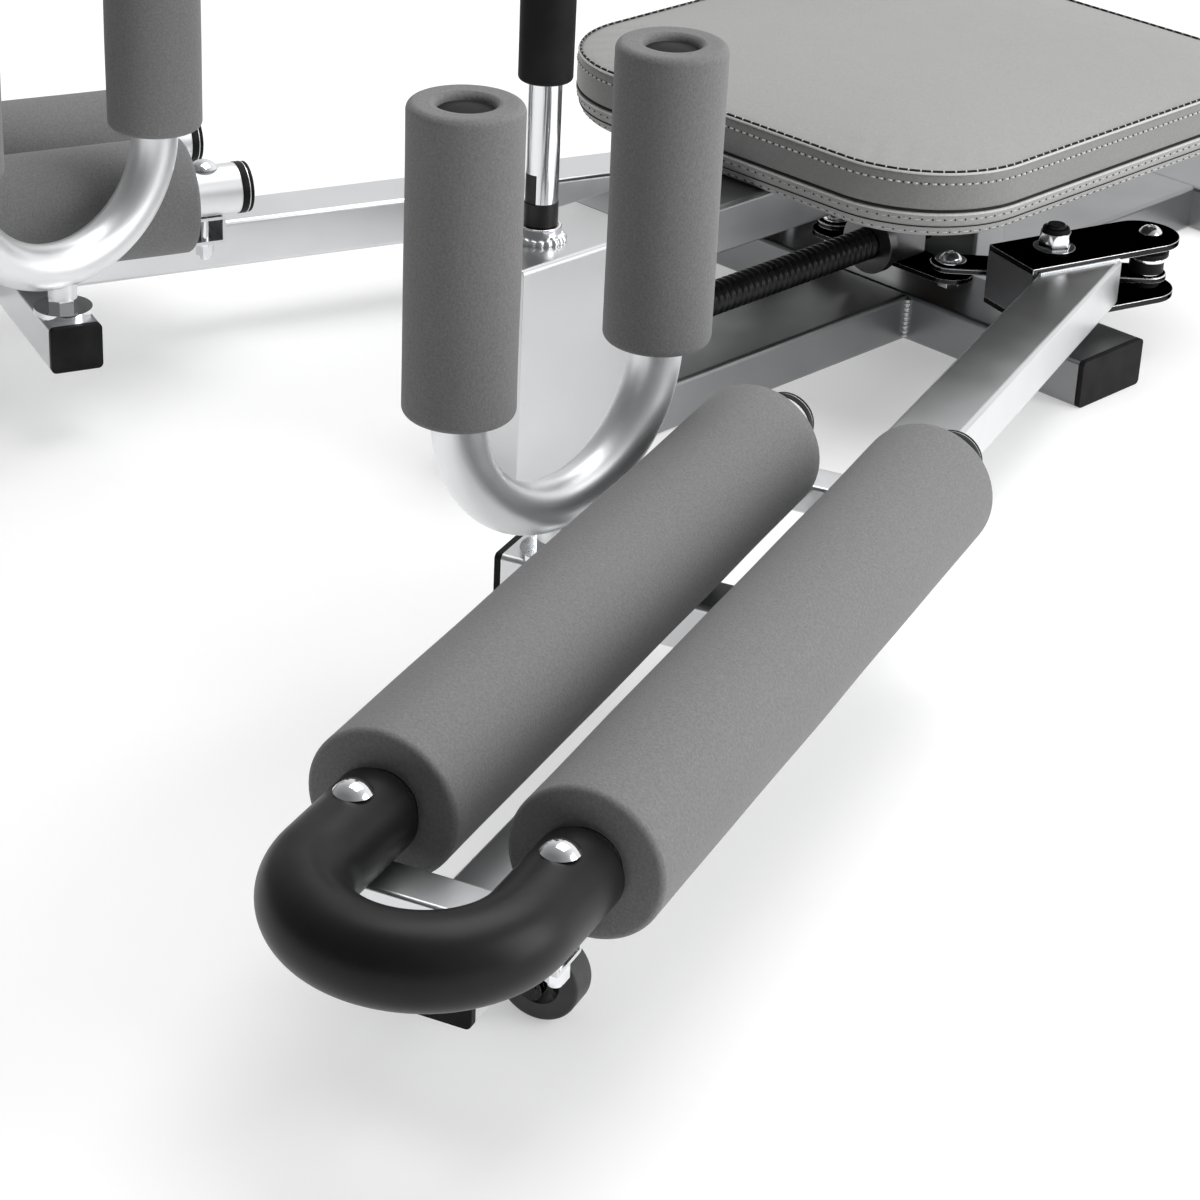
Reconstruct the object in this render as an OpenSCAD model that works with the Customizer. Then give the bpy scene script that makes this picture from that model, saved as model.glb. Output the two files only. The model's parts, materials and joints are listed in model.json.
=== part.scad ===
// Leg stretching machine: a low steel frame with a seat, and two arms that
// spread the legs. Turning the upright column drives a bevel gear and a long
// screw; the nut on the screw pulls a crosshead, and two links swing the arms.
// Origin: on the floor, in the middle plane, under the line through both arm
// pivots. +X is one arm's side, +Y is behind the user, +Z is up.

/* [Frame tubes] */
// Width of the main frame tubes
frame_w = 80; // [60:1:100]
// Height of the main frame tubes
frame_h = 40; // [35:1:45]
// Wall of the frame tubes
frame_wall = 2; // [1.5:0.1:3]
// Outer edge radius of every square tube
edge_r = 4; // [2.5:0.1:6]
// Length of the cross tube under the arm pivots
cross_len = 434; // [420:1:480]
// Length of the rear foot tube
foot_len = 434; // [300:1:520]
// Front end of the gear housing, ahead of the pivots
post_front = 488; // [480:1:540]
// Length of the gear housing, front to back
post_len = 130; // [126:1:150]
// Wall of the gear housing
post_wall = 3; // [2:0.1:4]
// Top of the beam that carries the seat
beam_top = 175; // [168:1:190]
// Distance of the seat beam's rear end inside the pad's rear edge
beam_short = 32; // [20:1:60]
// Depth of the pillar between rear rail and seat beam
pillar_d = 40; // [30:1:50]
// Gap from the cross tube to the pillar
pillar_gap = 6; // [4:1:20]
// Front face of the rear foot, behind the pivots
foot_front = 366; // [340:1:420]
// Depth that an end cap reaches into its tube
cap_plug = 12; // [8:1:20]
// Thickness of an end cap outside its tube
cap_lip = 5; // [3:0.5:8]

/* [Arms] */
// Distance of each pivot from the middle plane
pivot_x = 152; // [146:1:165]
// Angle between each arm and the middle plane at rest
splay = 19.6; // [12:0.1:30]
// Width of the long arm tube
arm_w = 50; // [40:1:52]
// Height of the arm tubes
arm_h = 40; // [36:1:46]
// Sideways place of the long tube's inner side from the pivot
arm_in = 1.5; // [0.5:0.1:3]
// Front end of the long arm tube, from the pivot
arm_len = 1116; // [1100:1:1140]
// Gap under the arm's lower plate, filled by the thrust washer
arm_lift = 15; // [10:0.5:20]
// Thickness of the two plates on the knuckle
plate_t = 5; // [4:0.5:6]
// Width of the knuckle and its plates
plate_w = 60; // [56:1:64]
// Angle of the plates outward from straight back
plate_turn = 16; // [12:0.5:20]
// Plate front end, ahead of the pivot
plate_front = 42; // [38:1:46]
// Distance from the pivot to the link bolt
lever = 98; // [90:1:104]
// Diameter of the pivot stud
stud_d = 16; // [14:1:18]
// Radius of the thrust washers under the knuckles
thrust_r = 24; // [22:1:28]
// Width across the flats of the pivot nuts
pivot_nut_af = 24; // [22:1:27]

/* [Rollers] */
// Distance between the two roller axes on an arm
roller_gap = 120; // [112:1:130]
// Height of the roller axes above the arm tube
roller_rise = 42; // [40:0.5:46]
// Diameter of the roller tubes
roller_d = 40; // [36:1:42]
// Outer diameter of the roller foam
foam_d = 91; // [80:1:96]
// Gap from the rear roller bolts to the foam
foam_gap_rear = 20; // [18:1:50]
// Gap from the foam to the front roller bolts
foam_gap_front = 30; // [28:1:60]
// Length of the roller tubes behind their rear bolts
roller_tail = 32; // [24:1:46]
// Diameter of the black bend at the front
bend_d = 51; // [48:1:54]
// Place of the rear cross channel
channel_rear = 528; // [518:1:530]
// Distance of the front cross channel's middle behind the arm's end
channel_back = 21; // [19:1:30]
// Distance of the bend's centre ahead of the front channel's middle
bend_ahead = 35; // [32:1:45]
// Width of the cross channels
channel_w = 30; // [24:1:32]
// Length of the cross channels
channel_len = 135; // [134:1:150]

/* [Calf holders] */
// Place of the holder's swivel along the arm
swivel_al = 670.5; // [660:0.5:690]
// Place of the holder's swivel inward from the pivot
swivel_in = 121.5; // [118:0.5:130]
// Angle of the holder to the arm at rest
holder_turn = 18.6; // [10:0.1:22]
// Diameter of the holder tube
holder_d = 35; // [30:1:38]
// Distance between the two legs of a holder
holder_gap = 178; // [170:1:190]
// Height of the tube's centre at the bottom of the U
holder_low = 133; // [131:1:140]
// Length of the upright foams
upright_len = 193; // [150:1:220]
// Outer diameter of the upright foams
upright_d = 71; // [64:1:76]
// Width of the stub tube that carries the holder
stub_w = 40; // [36:1:44]
// Height of the stub tube, which passes under the inner roller
stub_h = 36; // [30:1:36]
// Reach of the stub beyond the swivel
stub_past = 28; // [24:1:36]

/* [Drive] */
// Height of the screw above the floor
screw_z = 76; // [75:0.5:78]
// Diameter over the screw's thread
screw_d = 27; // [24:0.5:27]
// Pitch of the screw's thread
screw_pitch = 7; // [5:0.5:9]
// Depth of the screw's thread
screw_depth = 2.2; // [1.5:0.1:2.6]
// Diameter of both drive shafts in their bearings
shaft_d = 20; // [16:1:20]
// Distance from the pivots forward to the column
column_y = 433; // [431:1:436]
// Teeth on each bevel gear
gear_teeth = 16; // [14:2:18]
// Pitch radius of each bevel gear
gear_r = 20; // [19:0.5:22]
// Face depth of the bevel gears
gear_face = 7; // [5:0.5:8]
// Distance from the middle plane to the crosshead bolts
head_x = 62; // [60:0.5:66]
// Distance of the crosshead bolts ahead of the pivots
head_y = 16; // [10:0.5:20]
// Width of the crosshead and diameter of its ends
head_w = 40; // [34:1:44]
// Thickness of the crosshead
head_t = 4; // [3:0.5:4]
// Width of the links
link_w = 34; // [31:0.5:36]
// Thickness of the links
link_t = 5; // [4:0.5:6]
// Diameter of the link bolts
link_bolt = 10; // [8:0.5:12]
// Radius of the clearance hole at the links' open end
link_play = 10.8; // [10:0.1:12]

/* [Column and handlebar] */
// Diameter of the column tube
column_d = 25; // [22:0.5:26]
// Top of the column tube
column_top = 560; // [480:5:640]
// Diameter of the sleeve on the column
sleeve_d = 40; // [34:1:46]
// Lower end of the sleeve
sleeve_low = 297; // [260:1:330]
// Length of the sleeve
sleeve_len = 150; // [100:5:180]
// Width of the handlebar over its grips
bar_w = 320; // [240:5:380]
// Diameter of the handlebar's tube
bar_d = 22; // [19:1:25]
// Diameter of the handlebar grips
grip_d = 34; // [30:1:40]
// Length of each handlebar grip
grip_len = 110; // [90:1:125]

/* [Seat] */
// Width of the seat pad
seat_w = 430; // [360:5:450]
// Front edge of the seat pad, ahead of the pivots
seat_front = 238; // [220:1:250]
// Length of the seat pad
seat_len = 460; // [400:5:480]
// Height of the pad's upper seam above the beam
seat_seam = 53; // [46:1:60]
// Height of the pad's lower seam above the beam
seat_low_seam = 23; // [18:1:30]
// Crown of the pad above its seam
seat_crown = 12; // [8:1:18]
// Corner radius of the seat pad
seat_corner = 95; // [70:1:110]
// Thickness of the seat board
board_t = 12; // [9:1:15]
// Distance of the board's edge inside the pad's outline
board_in = 16; // [14:1:24]
// Distance across between the seat bolts
seat_bolt_gap = 50; // [40:2:60]
// Distance of the front seat bolts behind the pad's front edge
seat_bolt_in = 55; // [45:1:70]
// Distance of the rear seat bolts ahead of the beam's rear end
seat_bolt_back = 30; // [20:1:40]

/* [Wheels] */
// Diameter of the floor wheels
wheel_d = 50; // [46:1:56]
// Width of the floor wheels
wheel_w = 20; // [16:1:24]
// Distance of the wheel behind the arm's front end
wheel_back = 108; // [90:1:150]
// Place of the wheel sideways from the pivot
wheel_out = 40; // [30:1:42]

/* [Hidden] */
$fn = 48;

near = 1;
far = -1;
// Radial running clearance of every pin in its hole
run = 0.05;
// Gap between pieces that slide past each other
slip = 0.3;
// Cutting tools reach this far past what they cut
past = 1;

frame_hw = frame_w / 2;
beam_h = frame_h;
post_rear = post_front - post_len;
pillar_y = frame_hw + pillar_gap;
beam_rear = seat_len - seat_front - beam_short;

arm_low = frame_h + arm_lift + plate_t;
arm_high = arm_low + arm_h;
arm_mid = arm_in + arm_w / 2;
roller_z = arm_high + roller_rise;
roller_in = arm_mid - roller_gap / 2;
roller_out = arm_mid + roller_gap / 2;
channel_h = roller_rise - roller_d / 2;
channel_wall = 2.5;
channel_front = arm_len - channel_back;
roller_rear = channel_rear - roller_tail;
foam_rear = channel_rear + foam_gap_rear;
foam_len = channel_front - foam_gap_front - foam_rear;
foam_front = foam_rear + foam_len;
bend_al = channel_front + bend_ahead;
wheel_al = arm_len - wheel_back;
tube_wall = 2;
knuckle_turn = 180 - splay - plate_turn;
knuckle_rear = 38;
knuckle_wall = 4;
// Least angle between link and plates over the arms' travel
link_tight = 26;
stud_r = stud_d / 2;
pivot_nut_h = 13;
pivot_washer_r = 17;
pivot_washer_t = 2.7;
nylon_r = 10.6;
nylon_h = 3;

stub_end = -swivel_in - stub_past;
stub_top = arm_low + stub_h;
disc_t = 4;
nut_t = 7;
holder_bend = holder_gap / 2;
upright_low = holder_low + holder_bend;
upright_high = upright_low + upright_len;
holder_wall = 2.5;

head_top = 62;
link_low = head_top + 4;
link_high = link_low + link_t;
head_low = head_top - head_t;
lever_x = pivot_x + lever * sin(plate_turn);
lever_y = lever * cos(plate_turn);
link_dx = lever_x - head_x;
link_dy = lever_y + head_y;
link_len = sqrt(link_dx * link_dx + link_dy * link_dy);
link_turn = atan2(link_dy, link_dx);
link_bolt_r = link_bolt / 2;

shaft_r = shaft_d / 2;
screw_r = screw_d / 2;
gear_out = 1.8;
gear_in = 2.4;
boss_h = 12;
collar_h = 18;
collar_d = 26;
boss_top = beam_top + boss_h;
collar_top = boss_top + collar_h;
key_w = 11;
key_top = collar_top + 22;
spigot_r = column_d / 2 - tube_wall - run;
bar_r = bar_d / 2;
bar_rise = 4;
saddle_r = column_d / 2 + 3;
saddle_h = 30;
grip_end = 4;
bush_wall = 3;
bush_len = 14;
screw_rear = pillar_y + 20;
nut_front = 50;
flange_t = 9;
flange_r = 26;
nut_half = 21;
seat_bolt_r = 3;

steel = [0.78, 0.79, 0.8];
chrome = [0.85, 0.86, 0.88];
black = [0.08, 0.08, 0.09];
foam_grey = [0.42, 0.42, 0.43];
vinyl_grey = [0.6, 0.6, 0.59];
wood = [0.55, 0.42, 0.28];

// Rectangle w by h with round corners of radius r, centred
module round_rect(w, h, r) {
    square([w - 2 * r, h], center = true);
    square([w, h - 2 * r], center = true);
    for (x = [-1, 1], y = [-1, 1])
        translate([x * (w / 2 - r), y * (h / 2 - r)]) circle(r);
}

// Hollow square tube along +Z: outer size w by h, open at both ends
module tube(w, h, len, wall) {
    linear_extrude(len) difference() {
        round_rect(w, h, edge_r);
        round_rect(w - 2 * wall, h - 2 * wall, edge_r - wall);
    }
}

// Turn a shape drawn along +Z to lie along +Y
module along_y() { rotate([-90, 0, 0]) children(); }

// Turn a shape drawn along +Z to lie along +X
module along_x() { rotate([0, 90, 0]) children(); }

// Round tube along +Z
module pipe(r, wall, len) {
    difference() {
        cylinder(r = r, h = len);
        translate([0, 0, -past]) cylinder(r = r - wall, h = len + 2 * past);
    }
}

// Flat ring along +Z
module ring(r, bore, h) {
    difference() {
        cylinder(r = r, h = h);
        translate([0, 0, -past]) cylinder(r = bore, h = h + 2 * past);
    }
}

// Low domed bolt head standing on z = 0
module dome_head(r, h) {
    rotate_extrude() intersection() {
        translate([0, h - (r * r + h * h) / (2 * h)]) circle((r * r + h * h) / (2 * h), $fn = 96);
        square([r, h]);
    }
}

// Hexagon prism, across flats
module hex(flats, h) { cylinder(r = flats / 2 / cos(30), h = h, $fn = 6); }

// Black push-in end cap for a square tube; its lip lies on z = 0 to cap_lip
module square_cap(w, h, wall) {
    inner_w = w - 2 * wall - 2 * slip;
    inner_h = h - 2 * wall - 2 * slip;
    linear_extrude(cap_lip) round_rect(w, h, edge_r);
    translate([0, 0, -cap_plug]) linear_extrude(cap_plug) difference() {
        round_rect(inner_w, inner_h, edge_r - wall);
        square([inner_w - 6, inner_h - 6], center = true);
    }
}

// Put arm parts in place: local x runs forward along the arm from the pivot,
// local y runs outward; the far arm is the mirror image of the near one
module on_arm(side) {
    mirror([side < 0 ? 1 : 0, 0, 0]) translate([pivot_x, 0, 0]) rotate([0, 0, splay - 90]) children();
}

// Knuckle frame inside the arm frame: local x runs back along the plates
module on_knuckle() { rotate([0, 0, knuckle_turn]) children(); }

// Holder frame inside the arm frame: local x joins the two legs
module on_holder() {
    translate([swivel_al, -swivel_in, 0]) rotate([0, 0, -holder_turn]) children();
}

module rails() {
    color(steel) {
        translate([0, -post_rear, frame_h / 2]) along_y()
            tube(frame_w, frame_h, post_rear - frame_hw, frame_wall);
        translate([0, frame_hw, frame_h / 2]) along_y()
            tube(frame_w, frame_h, foot_front - frame_hw, frame_wall);
    }
}

module cross_tube() {
    color(steel) difference() {
        translate([-cross_len / 2, 0, frame_h / 2]) along_x()
            tube(frame_h, frame_w, cross_len, frame_wall);
        for (s = [near, far])
            translate([s * pivot_x, 0, frame_h / 2]) cylinder(r = stud_r + run, h = frame_h);
    }
}

module rear_foot() {
    color(steel) translate([-foot_len / 2, foot_front + frame_hw, frame_h / 2]) along_x()
        tube(frame_h, frame_w, foot_len, frame_wall);
}

module gear_housing() {
    inner = 2 * post_wall;
    color(steel) difference() {
        translate([0, -post_front, beam_top / 2]) along_y()
            linear_extrude(post_len) round_rect(frame_w, beam_top, edge_r);
        translate([-frame_hw + post_wall, -post_front + post_wall, post_wall])
            cube([frame_w - inner, post_len - inner, beam_top - inner]);
        translate([0, -column_y, beam_top - post_wall - past])
            cylinder(r = shaft_r + bush_wall + run, h = post_wall + 2 * past);
        translate([0, -post_rear - post_wall - past, screw_z]) along_y()
            cylinder(r = shaft_r + bush_wall + run, h = post_wall + 2 * past);
    }
}

module seat_beam() {
    color(steel) difference() {
        translate([0, -post_rear, beam_top - beam_h / 2]) along_y()
            tube(frame_w, beam_h, post_rear + beam_rear, frame_wall);
        seat_bolt_places() translate([0, 0, beam_top - frame_wall - past])
            cylinder(r = seat_bolt_r + run, h = frame_wall + 2 * past);
    }
}

module pillar() {
    color(steel) difference() {
        translate([0, pillar_y + pillar_d / 2, frame_h])
            tube(frame_w, pillar_d, beam_top - beam_h - frame_h, frame_wall);
        translate([0, pillar_y - past, screw_z]) along_y()
            cylinder(r = shaft_r + run, h = frame_wall + 2 * past);
    }
}

module frame_caps() {
    color(black) {
        for (s = [0, 1]) mirror([s, 0, 0]) {
            translate([cross_len / 2, 0, frame_h / 2]) along_x()
                square_cap(frame_h, frame_w, frame_wall);
            translate([foot_len / 2, foot_front + frame_hw, frame_h / 2]) along_x()
                square_cap(frame_h, frame_w, frame_wall);
        }
        translate([0, beam_rear, beam_top - beam_h / 2]) along_y()
            square_cap(frame_w, beam_h, frame_wall);
    }
}

// Studs stand on the cross tube's lower wall and pass through its top
module pivot_studs() {
    top = arm_high + plate_t + 22;
    color(black) for (s = [near, far]) translate([s * pivot_x, 0, frame_wall]) {
        cylinder(r = stud_r, h = top - frame_wall - 1);
        translate([0, 0, top - frame_wall - 1]) cylinder(r1 = stud_r, r2 = stud_r - 1, h = 1);
    }
}

// Washer and locking nut on each stud
module pivot_nuts() {
    color(chrome) for (s = [near, far]) translate([s * pivot_x, 0, arm_high + plate_t + slip]) {
        ring(pivot_washer_r, stud_r + run, pivot_washer_t);
        translate([0, 0, pivot_washer_t]) difference() {
            union() {
                intersection() {
                    hex(pivot_nut_af, pivot_nut_h);
                    cylinder(r1 = pivot_nut_af / 2 + 3.5, r2 = pivot_nut_af / 2 + 0.2, h = pivot_nut_h);
                }
                translate([0, 0, pivot_nut_h]) cylinder(r1 = nylon_r, r2 = nylon_r - 0.8, h = nylon_h);
            }
            translate([0, 0, -past]) cylinder(r = stud_r + run, h = pivot_nut_h + nylon_h + 2 * past);
        }
    }
}

module thrust_washers() {
    color(chrome) for (s = [near, far]) translate([s * pivot_x, 0, frame_h])
        ring(thrust_r, stud_r + run, arm_lift - slip);
}

module seat_outline(inset) {
    w = seat_w - 2 * inset;
    l = seat_len - 2 * inset;
    translate([0, seat_len / 2 - seat_front]) round_rect(w, l, seat_corner - inset);
}

module seat_board() {
    color(wood) translate([0, 0, beam_top]) difference() {
        linear_extrude(board_t) seat_outline(board_in);
        seat_bolt_places() translate([0, 0, -past]) cylinder(r = seat_bolt_r + run, h = board_t + 2 * past);
    }
}

// Bolt places through beam and board
module seat_bolt_places() {
    for (s = [-1, 1], y = [-seat_front + seat_bolt_in, beam_rear - seat_bolt_back])
        translate([s * seat_bolt_gap / 2, y, 0]) children();
}

module seat_bolts() {
    color(chrome) seat_bolt_places() translate([0, 0, beam_top - frame_wall - 4]) {
        hex(10, 4);
        cylinder(r = seat_bolt_r, h = board_t + frame_wall + 4 - 1);
    }
}

// One ring of the pad: a rounded rectangle with half sizes a and b, corner
// radius c, drawn in to in at the middle of its straight sides
seat_arc = 6;
function pad_ring(a, b, c, z, waist) = [
    for (q = [0:3], i = [0:seat_arc])
        let (
            t = 90 * (q + i / seat_arc),
            sx = (q == 0 || q == 3) ? 1 : -1,
            sy = (q == 0 || q == 1) ? 1 : -1,
            x = sx * (a - c) + c * cos(t),
            y = sy * (b - c) + c * sin(t),
            pull = waist * (1 - pow(min(1, abs(x / a * y / b) * 1.4), 0.7))
        )
        [x * (1 - pull / a), y * (1 - pull / b), z]
];

// Profile of the pad from its board up: [inset, height, waist]
pad_profile = [
    [9, 0, 0], [4, 7, 0], [1.2, 14, 0.5], [0, seat_low_seam - 2, 1], [1.6, seat_low_seam, 1],
    [0, seat_low_seam + 2, 1], [0.5, (seat_low_seam + seat_seam) / 2, 1], [2.5, seat_seam - 3, 1],
    [4.5, seat_seam, 1], [16, seat_seam + seat_crown * 0.42, 1],
    [45, seat_seam + seat_crown * 0.78, 0], [95, seat_seam + seat_crown * 0.96, 0],
    [150, seat_seam + seat_crown, 0]
];

module loft(rings) {
    n = len(rings[0]);
    m = len(rings);
    points = [for (r = rings) each r];
    sides = [for (k = [0:m - 2], i = [0:n - 1], h = [0, 1])
        let (
            a = k * n + i,
            b = k * n + (i + 1) % n,
            c = a + n,
            d = b + n
        )
        h == 0 ? [a, c, b] : [b, c, d]];
    low = [for (i = [1:n - 2]) [0, i, i + 1]];
    high = [for (i = [1:n - 2]) [(m - 1) * n, (m - 1) * n + i + 1, (m - 1) * n + i]];
    polyhedron(points = points, faces = concat(sides, low, high));
}

module seat_pad() {
    a = seat_w / 2;
    b = seat_len / 2;
    recess = board_in - slip;
    color(vinyl_grey) translate([0, b - seat_front, beam_top]) difference() {
        loft([for (p = pad_profile)
            pad_ring(a - p[0], b - p[0], max(seat_corner - p[0], 8 + p[1] / 8), p[1], p[2])]);
        translate([0, 0, -past]) linear_extrude(board_t + slip + past)
            round_rect(seat_w - 2 * recess, seat_len - 2 * recess, seat_corner - recess);
    }
}

// Chrome boss welded on the beam, through which the drive shaft comes up
module shaft_boss() {
    color(chrome) translate([0, -column_y, beam_top])
        ring(16, shaft_r + bush_wall + run, boss_h);
}

// Flanged bushes: two for the upright shaft, two for the screw
module bush(len) {
    difference() {
        union() {
            cylinder(r = shaft_r + bush_wall, h = len);
            cylinder(r = shaft_r + bush_wall + 4, h = 2);
        }
        translate([0, 0, -past]) cylinder(r = shaft_r + run, h = len + 2 * past);
    }
}

module drive_bearings() {
    color("goldenrod") {
        translate([0, -column_y, beam_top - post_wall - 2]) bush(bush_len + 2);
        translate([0, -column_y, post_wall]) difference() {
            cylinder(r = shaft_r + bush_wall + 4, h = 22);
            translate([0, 0, 6]) cylinder(r = shaft_r + run, h = 22);
        }
        translate([0, -post_rear - post_wall - 2, screw_z]) along_y() bush(post_wall + 2 + 8);
        translate([0, pillar_y - 8, screw_z]) along_y() difference() {
            union() {
                cylinder(r = shaft_r, h = 8 + frame_wall);
                cylinder(r = shaft_r + 4, h = 8);
            }
            translate([0, 0, -past]) cylinder(r = shaft_r - bush_wall + run, h = 20);
        }
    }
}

// Upright shaft: lower journal, gear seat, collar above the boss, and a
// spigot whose key fills the slot in the column's foot
module drive_shaft() {
    color(black) translate([0, -column_y, 0]) {
        translate([0, 0, post_wall + 6 + slip]) cylinder(r = shaft_r, h = boss_top - post_wall - 6);
        translate([0, 0, boss_top + slip]) cylinder(r = collar_d / 2, h = collar_h - slip);
        translate([0, 0, collar_top]) cylinder(r = spigot_r, h = 40);
        translate([0, 0, collar_top]) intersection() {
            cylinder(r = column_d / 2, h = key_top - collar_top);
            translate([-key_w / 2, -column_d / 2, 0]) cube([key_w, column_d, key_top - collar_top]);
        }
    }
}

// Straight bevel gear: its apex is at the origin and its back faces +Z
module bevel(bore, turn) {
    pitch = 360 / gear_teeth;
    outer = gear_r + gear_out;
    inner = gear_r - gear_in;
    // one tooth: share of the pitch, radius
    tooth = [[-0.27, inner], [-0.12, outer], [0.12, outer], [0.27, inner]];
    rotate([0, 0, turn]) difference() {
        union() {
            translate([0, 0, gear_r]) mirror([0, 0, 1])
                linear_extrude(gear_face, scale = (gear_r - gear_face) / gear_r)
                    polygon([for (k = [0:gear_teeth - 1], p = tooth)
                        let (t = (k + p[0]) * pitch)
                        [p[1] * cos(t), p[1] * sin(t)]]);
            translate([0, 0, gear_r]) cylinder(r = 16, h = 12);
        }
        translate([0, 0, -past]) cylinder(r = bore, h = gear_r + 20);
    }
}

module drive_bevel() {
    color("dimgray") translate([0, -column_y, screw_z]) bevel(shaft_r + run, 90);
}

module screw_bevel() {
    color("dimgray") translate([0, -column_y, screw_z]) along_y()
        bevel(shaft_r - bush_wall + run, 90 + 180 / gear_teeth);
}

// Screw with rounded ribs of thread and a plain journal at each end
module lead_screw() {
    journal_r = shaft_r - bush_wall;
    front = -column_y + gear_r - gear_face + 1;
    thread_front = -post_rear + 10;
    thread_rear = pillar_y - 16;
    turns = floor((thread_rear - thread_front) / screw_pitch);
    color(black) translate([0, 0, screw_z]) {
        translate([0, front, 0]) along_y() cylinder(r = journal_r, h = 1 + thread_front - front);
        translate([0, -post_rear - post_wall - 1, 0]) along_y()
            cylinder(r = shaft_r, h = thread_front + post_rear + post_wall + 1);
        translate([0, thread_front, 0]) along_y() rotate_extrude() polygon(concat(
            [[0, 0]],
            [for (k = [0:turns - 1], p = [[0, 0.1], [screw_depth, 0.32], [screw_depth, 0.68], [0, 0.9]])
                [screw_r - screw_depth + p[0], (k + p[1]) * screw_pitch]],
            [[0, turns * screw_pitch]]
        ));
        translate([0, thread_front + turns * screw_pitch, 0]) along_y()
            cylinder(r = journal_r, h = screw_rear - thread_front - turns * screw_pitch);
    }
}

// Plan of the crosshead or a link: two round ends joined by straight sides
module bar_plan(len, w) {
    translate([0, -w / 2]) square([len, w]);
    circle(w / 2);
    translate([len, 0]) circle(w / 2);
}

module crosshead() {
    color(steel) translate([-head_x, -head_y, head_low]) difference() {
        linear_extrude(head_t) bar_plan(2 * head_x, head_w);
        for (x = [0, 2 * head_x]) translate([x, 0, -past])
            cylinder(r = link_bolt_r + run, h = head_t + 2 * past);
    }
}

// Nut of the screw: a block on the crosshead with a round flange in front
module screw_nut() {
    block_rear = -nut_front + flange_t + 42;
    top = screw_z + screw_r + 5;
    color(black) difference() {
        union() {
            translate([0, -nut_front, screw_z]) along_y()
                cylinder(r = flange_r, h = flange_t, $fn = 96);
            translate([-nut_half, -nut_front + flange_t, head_top])
                cube([2 * nut_half, block_rear + nut_front - flange_t, top - head_top]);
        }
        translate([0, -nut_front - past, screw_z]) along_y()
            cylinder(r = screw_r + run, h = 80);
    }
}

// Bolts between crosshead and links, with the nut below and washers above
module crosshead_bolts() {
    color(chrome) for (s = [near, far]) translate([s * head_x, -head_y, 0]) {
        translate([0, 0, head_low - 8]) hex(17, 8);
        translate([0, 0, head_low - 8]) cylinder(r = link_bolt_r, h = link_high - head_low + 12);
        translate([0, 0, head_top]) ring(10, link_bolt_r, link_low - head_top - slip);
        translate([0, 0, link_high + slip]) cylinder(r = 13, h = 2);
        translate([0, 0, link_high + slip + 2]) dome_head(9.5, 6.5);
    }
}

module link(side) {
    color(steel) mirror([side < 0 ? 1 : 0, 0, 0]) translate([head_x, -head_y, link_low])
        rotate([0, 0, link_turn]) difference() {
            linear_extrude(link_t) bar_plan(link_len, link_w);
            translate([0, 0, -past]) cylinder(r = link_bolt_r + run, h = link_t + 2 * past);
            translate([link_len, 0, -past]) cylinder(r = link_play, h = link_t + 2 * past);
        }
}

// Outline of the knuckle seen from above, its rear corner cut parallel to the
// link where the link lies closest; inset makes the inner face
module knuckle_plan(inset) {
    half = plate_w / 2 - inset;
    reach = link_w / 2 + 3 + inset;
    rear = knuckle_rear - inset;
    slope = tan(link_tight);
    // side place of the cut at distance t behind the pivot
    function cut(t) = (lever - t) * slope - reach / cos(link_tight);
    cut_start = lever - (half + reach / cos(link_tight)) / slope;
    polygon([[-plate_front + inset, -half], [rear, -half], [rear, cut(rear)],
        [cut_start, half], [-plate_front + inset, half]]);
}

// Long tube of the arm, mitred against the knuckle, and the knuckle's walls
module arm_tube(side) {
    color(steel) on_arm(side) {
        difference() {
            translate([-plate_front, arm_mid, arm_low + arm_h / 2]) along_x()
                tube(arm_h, arm_w, arm_len + plate_front, tube_wall);
            on_knuckle() translate([-2 * plate_w, -plate_w / 2, arm_low - past])
                cube([4 * plate_w, 3 * plate_w, arm_h + 2 * past]);
        }
        on_knuckle() translate([0, 0, arm_low]) linear_extrude(arm_h) difference() {
            knuckle_plan(0);
            knuckle_plan(knuckle_wall);
        }
    }
}

// The two lever plates and the sleeve that turns on the stud
module arm_plates(side) {
    color(steel) on_arm(side) on_knuckle() {
        for (z = [arm_low - plate_t, arm_high]) translate([0, 0, z]) difference() {
            linear_extrude(plate_t) {
                translate([-plate_front, -plate_w / 2])
                    square([plate_front + lever - 8, plate_w]);
                translate([lever - 8, 0]) circle(plate_w / 2);
            }
            translate([0, 0, -past]) cylinder(r = stud_r + run, h = plate_t + 2 * past);
            translate([lever, 0, -past]) cylinder(r = link_bolt_r + run, h = plate_t + 2 * past);
        }
        translate([0, 0, arm_low]) ring(stud_r + 4, stud_r + run, arm_h);
    }
}

module roller_places() {
    for (y = [roller_in, roller_out]) translate([0, y, 0]) children();
}

module roller_tubes(side) {
    color(steel) on_arm(side) roller_places() difference() {
        translate([roller_rear, 0, roller_z]) along_x()
            pipe(roller_d / 2, tube_wall, channel_front + 16 - roller_rear);
        for (x = [channel_rear, channel_front]) translate([x, 0, roller_z - roller_d])
            cylinder(r = 4 + run, h = 2 * roller_d);
    }
}

// Foam tube along +Z with softly rounded rims
module foam(r, bore, len, rim) {
    rotate_extrude($fn = 64) {
        translate([bore, rim]) square([r - bore, len - 2 * rim]);
        translate([bore, 0]) square([r - bore - rim, len]);
        for (z = [rim, len - rim]) translate([r - rim, z]) circle(rim, $fn = 32);
    }
}

module roller_foams(side) {
    color(foam_grey) on_arm(side) roller_places()
        translate([foam_rear, 0, roller_z]) along_x()
            foam(foam_d / 2, roller_d / 2 + slip, foam_len, 7);
}

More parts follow.
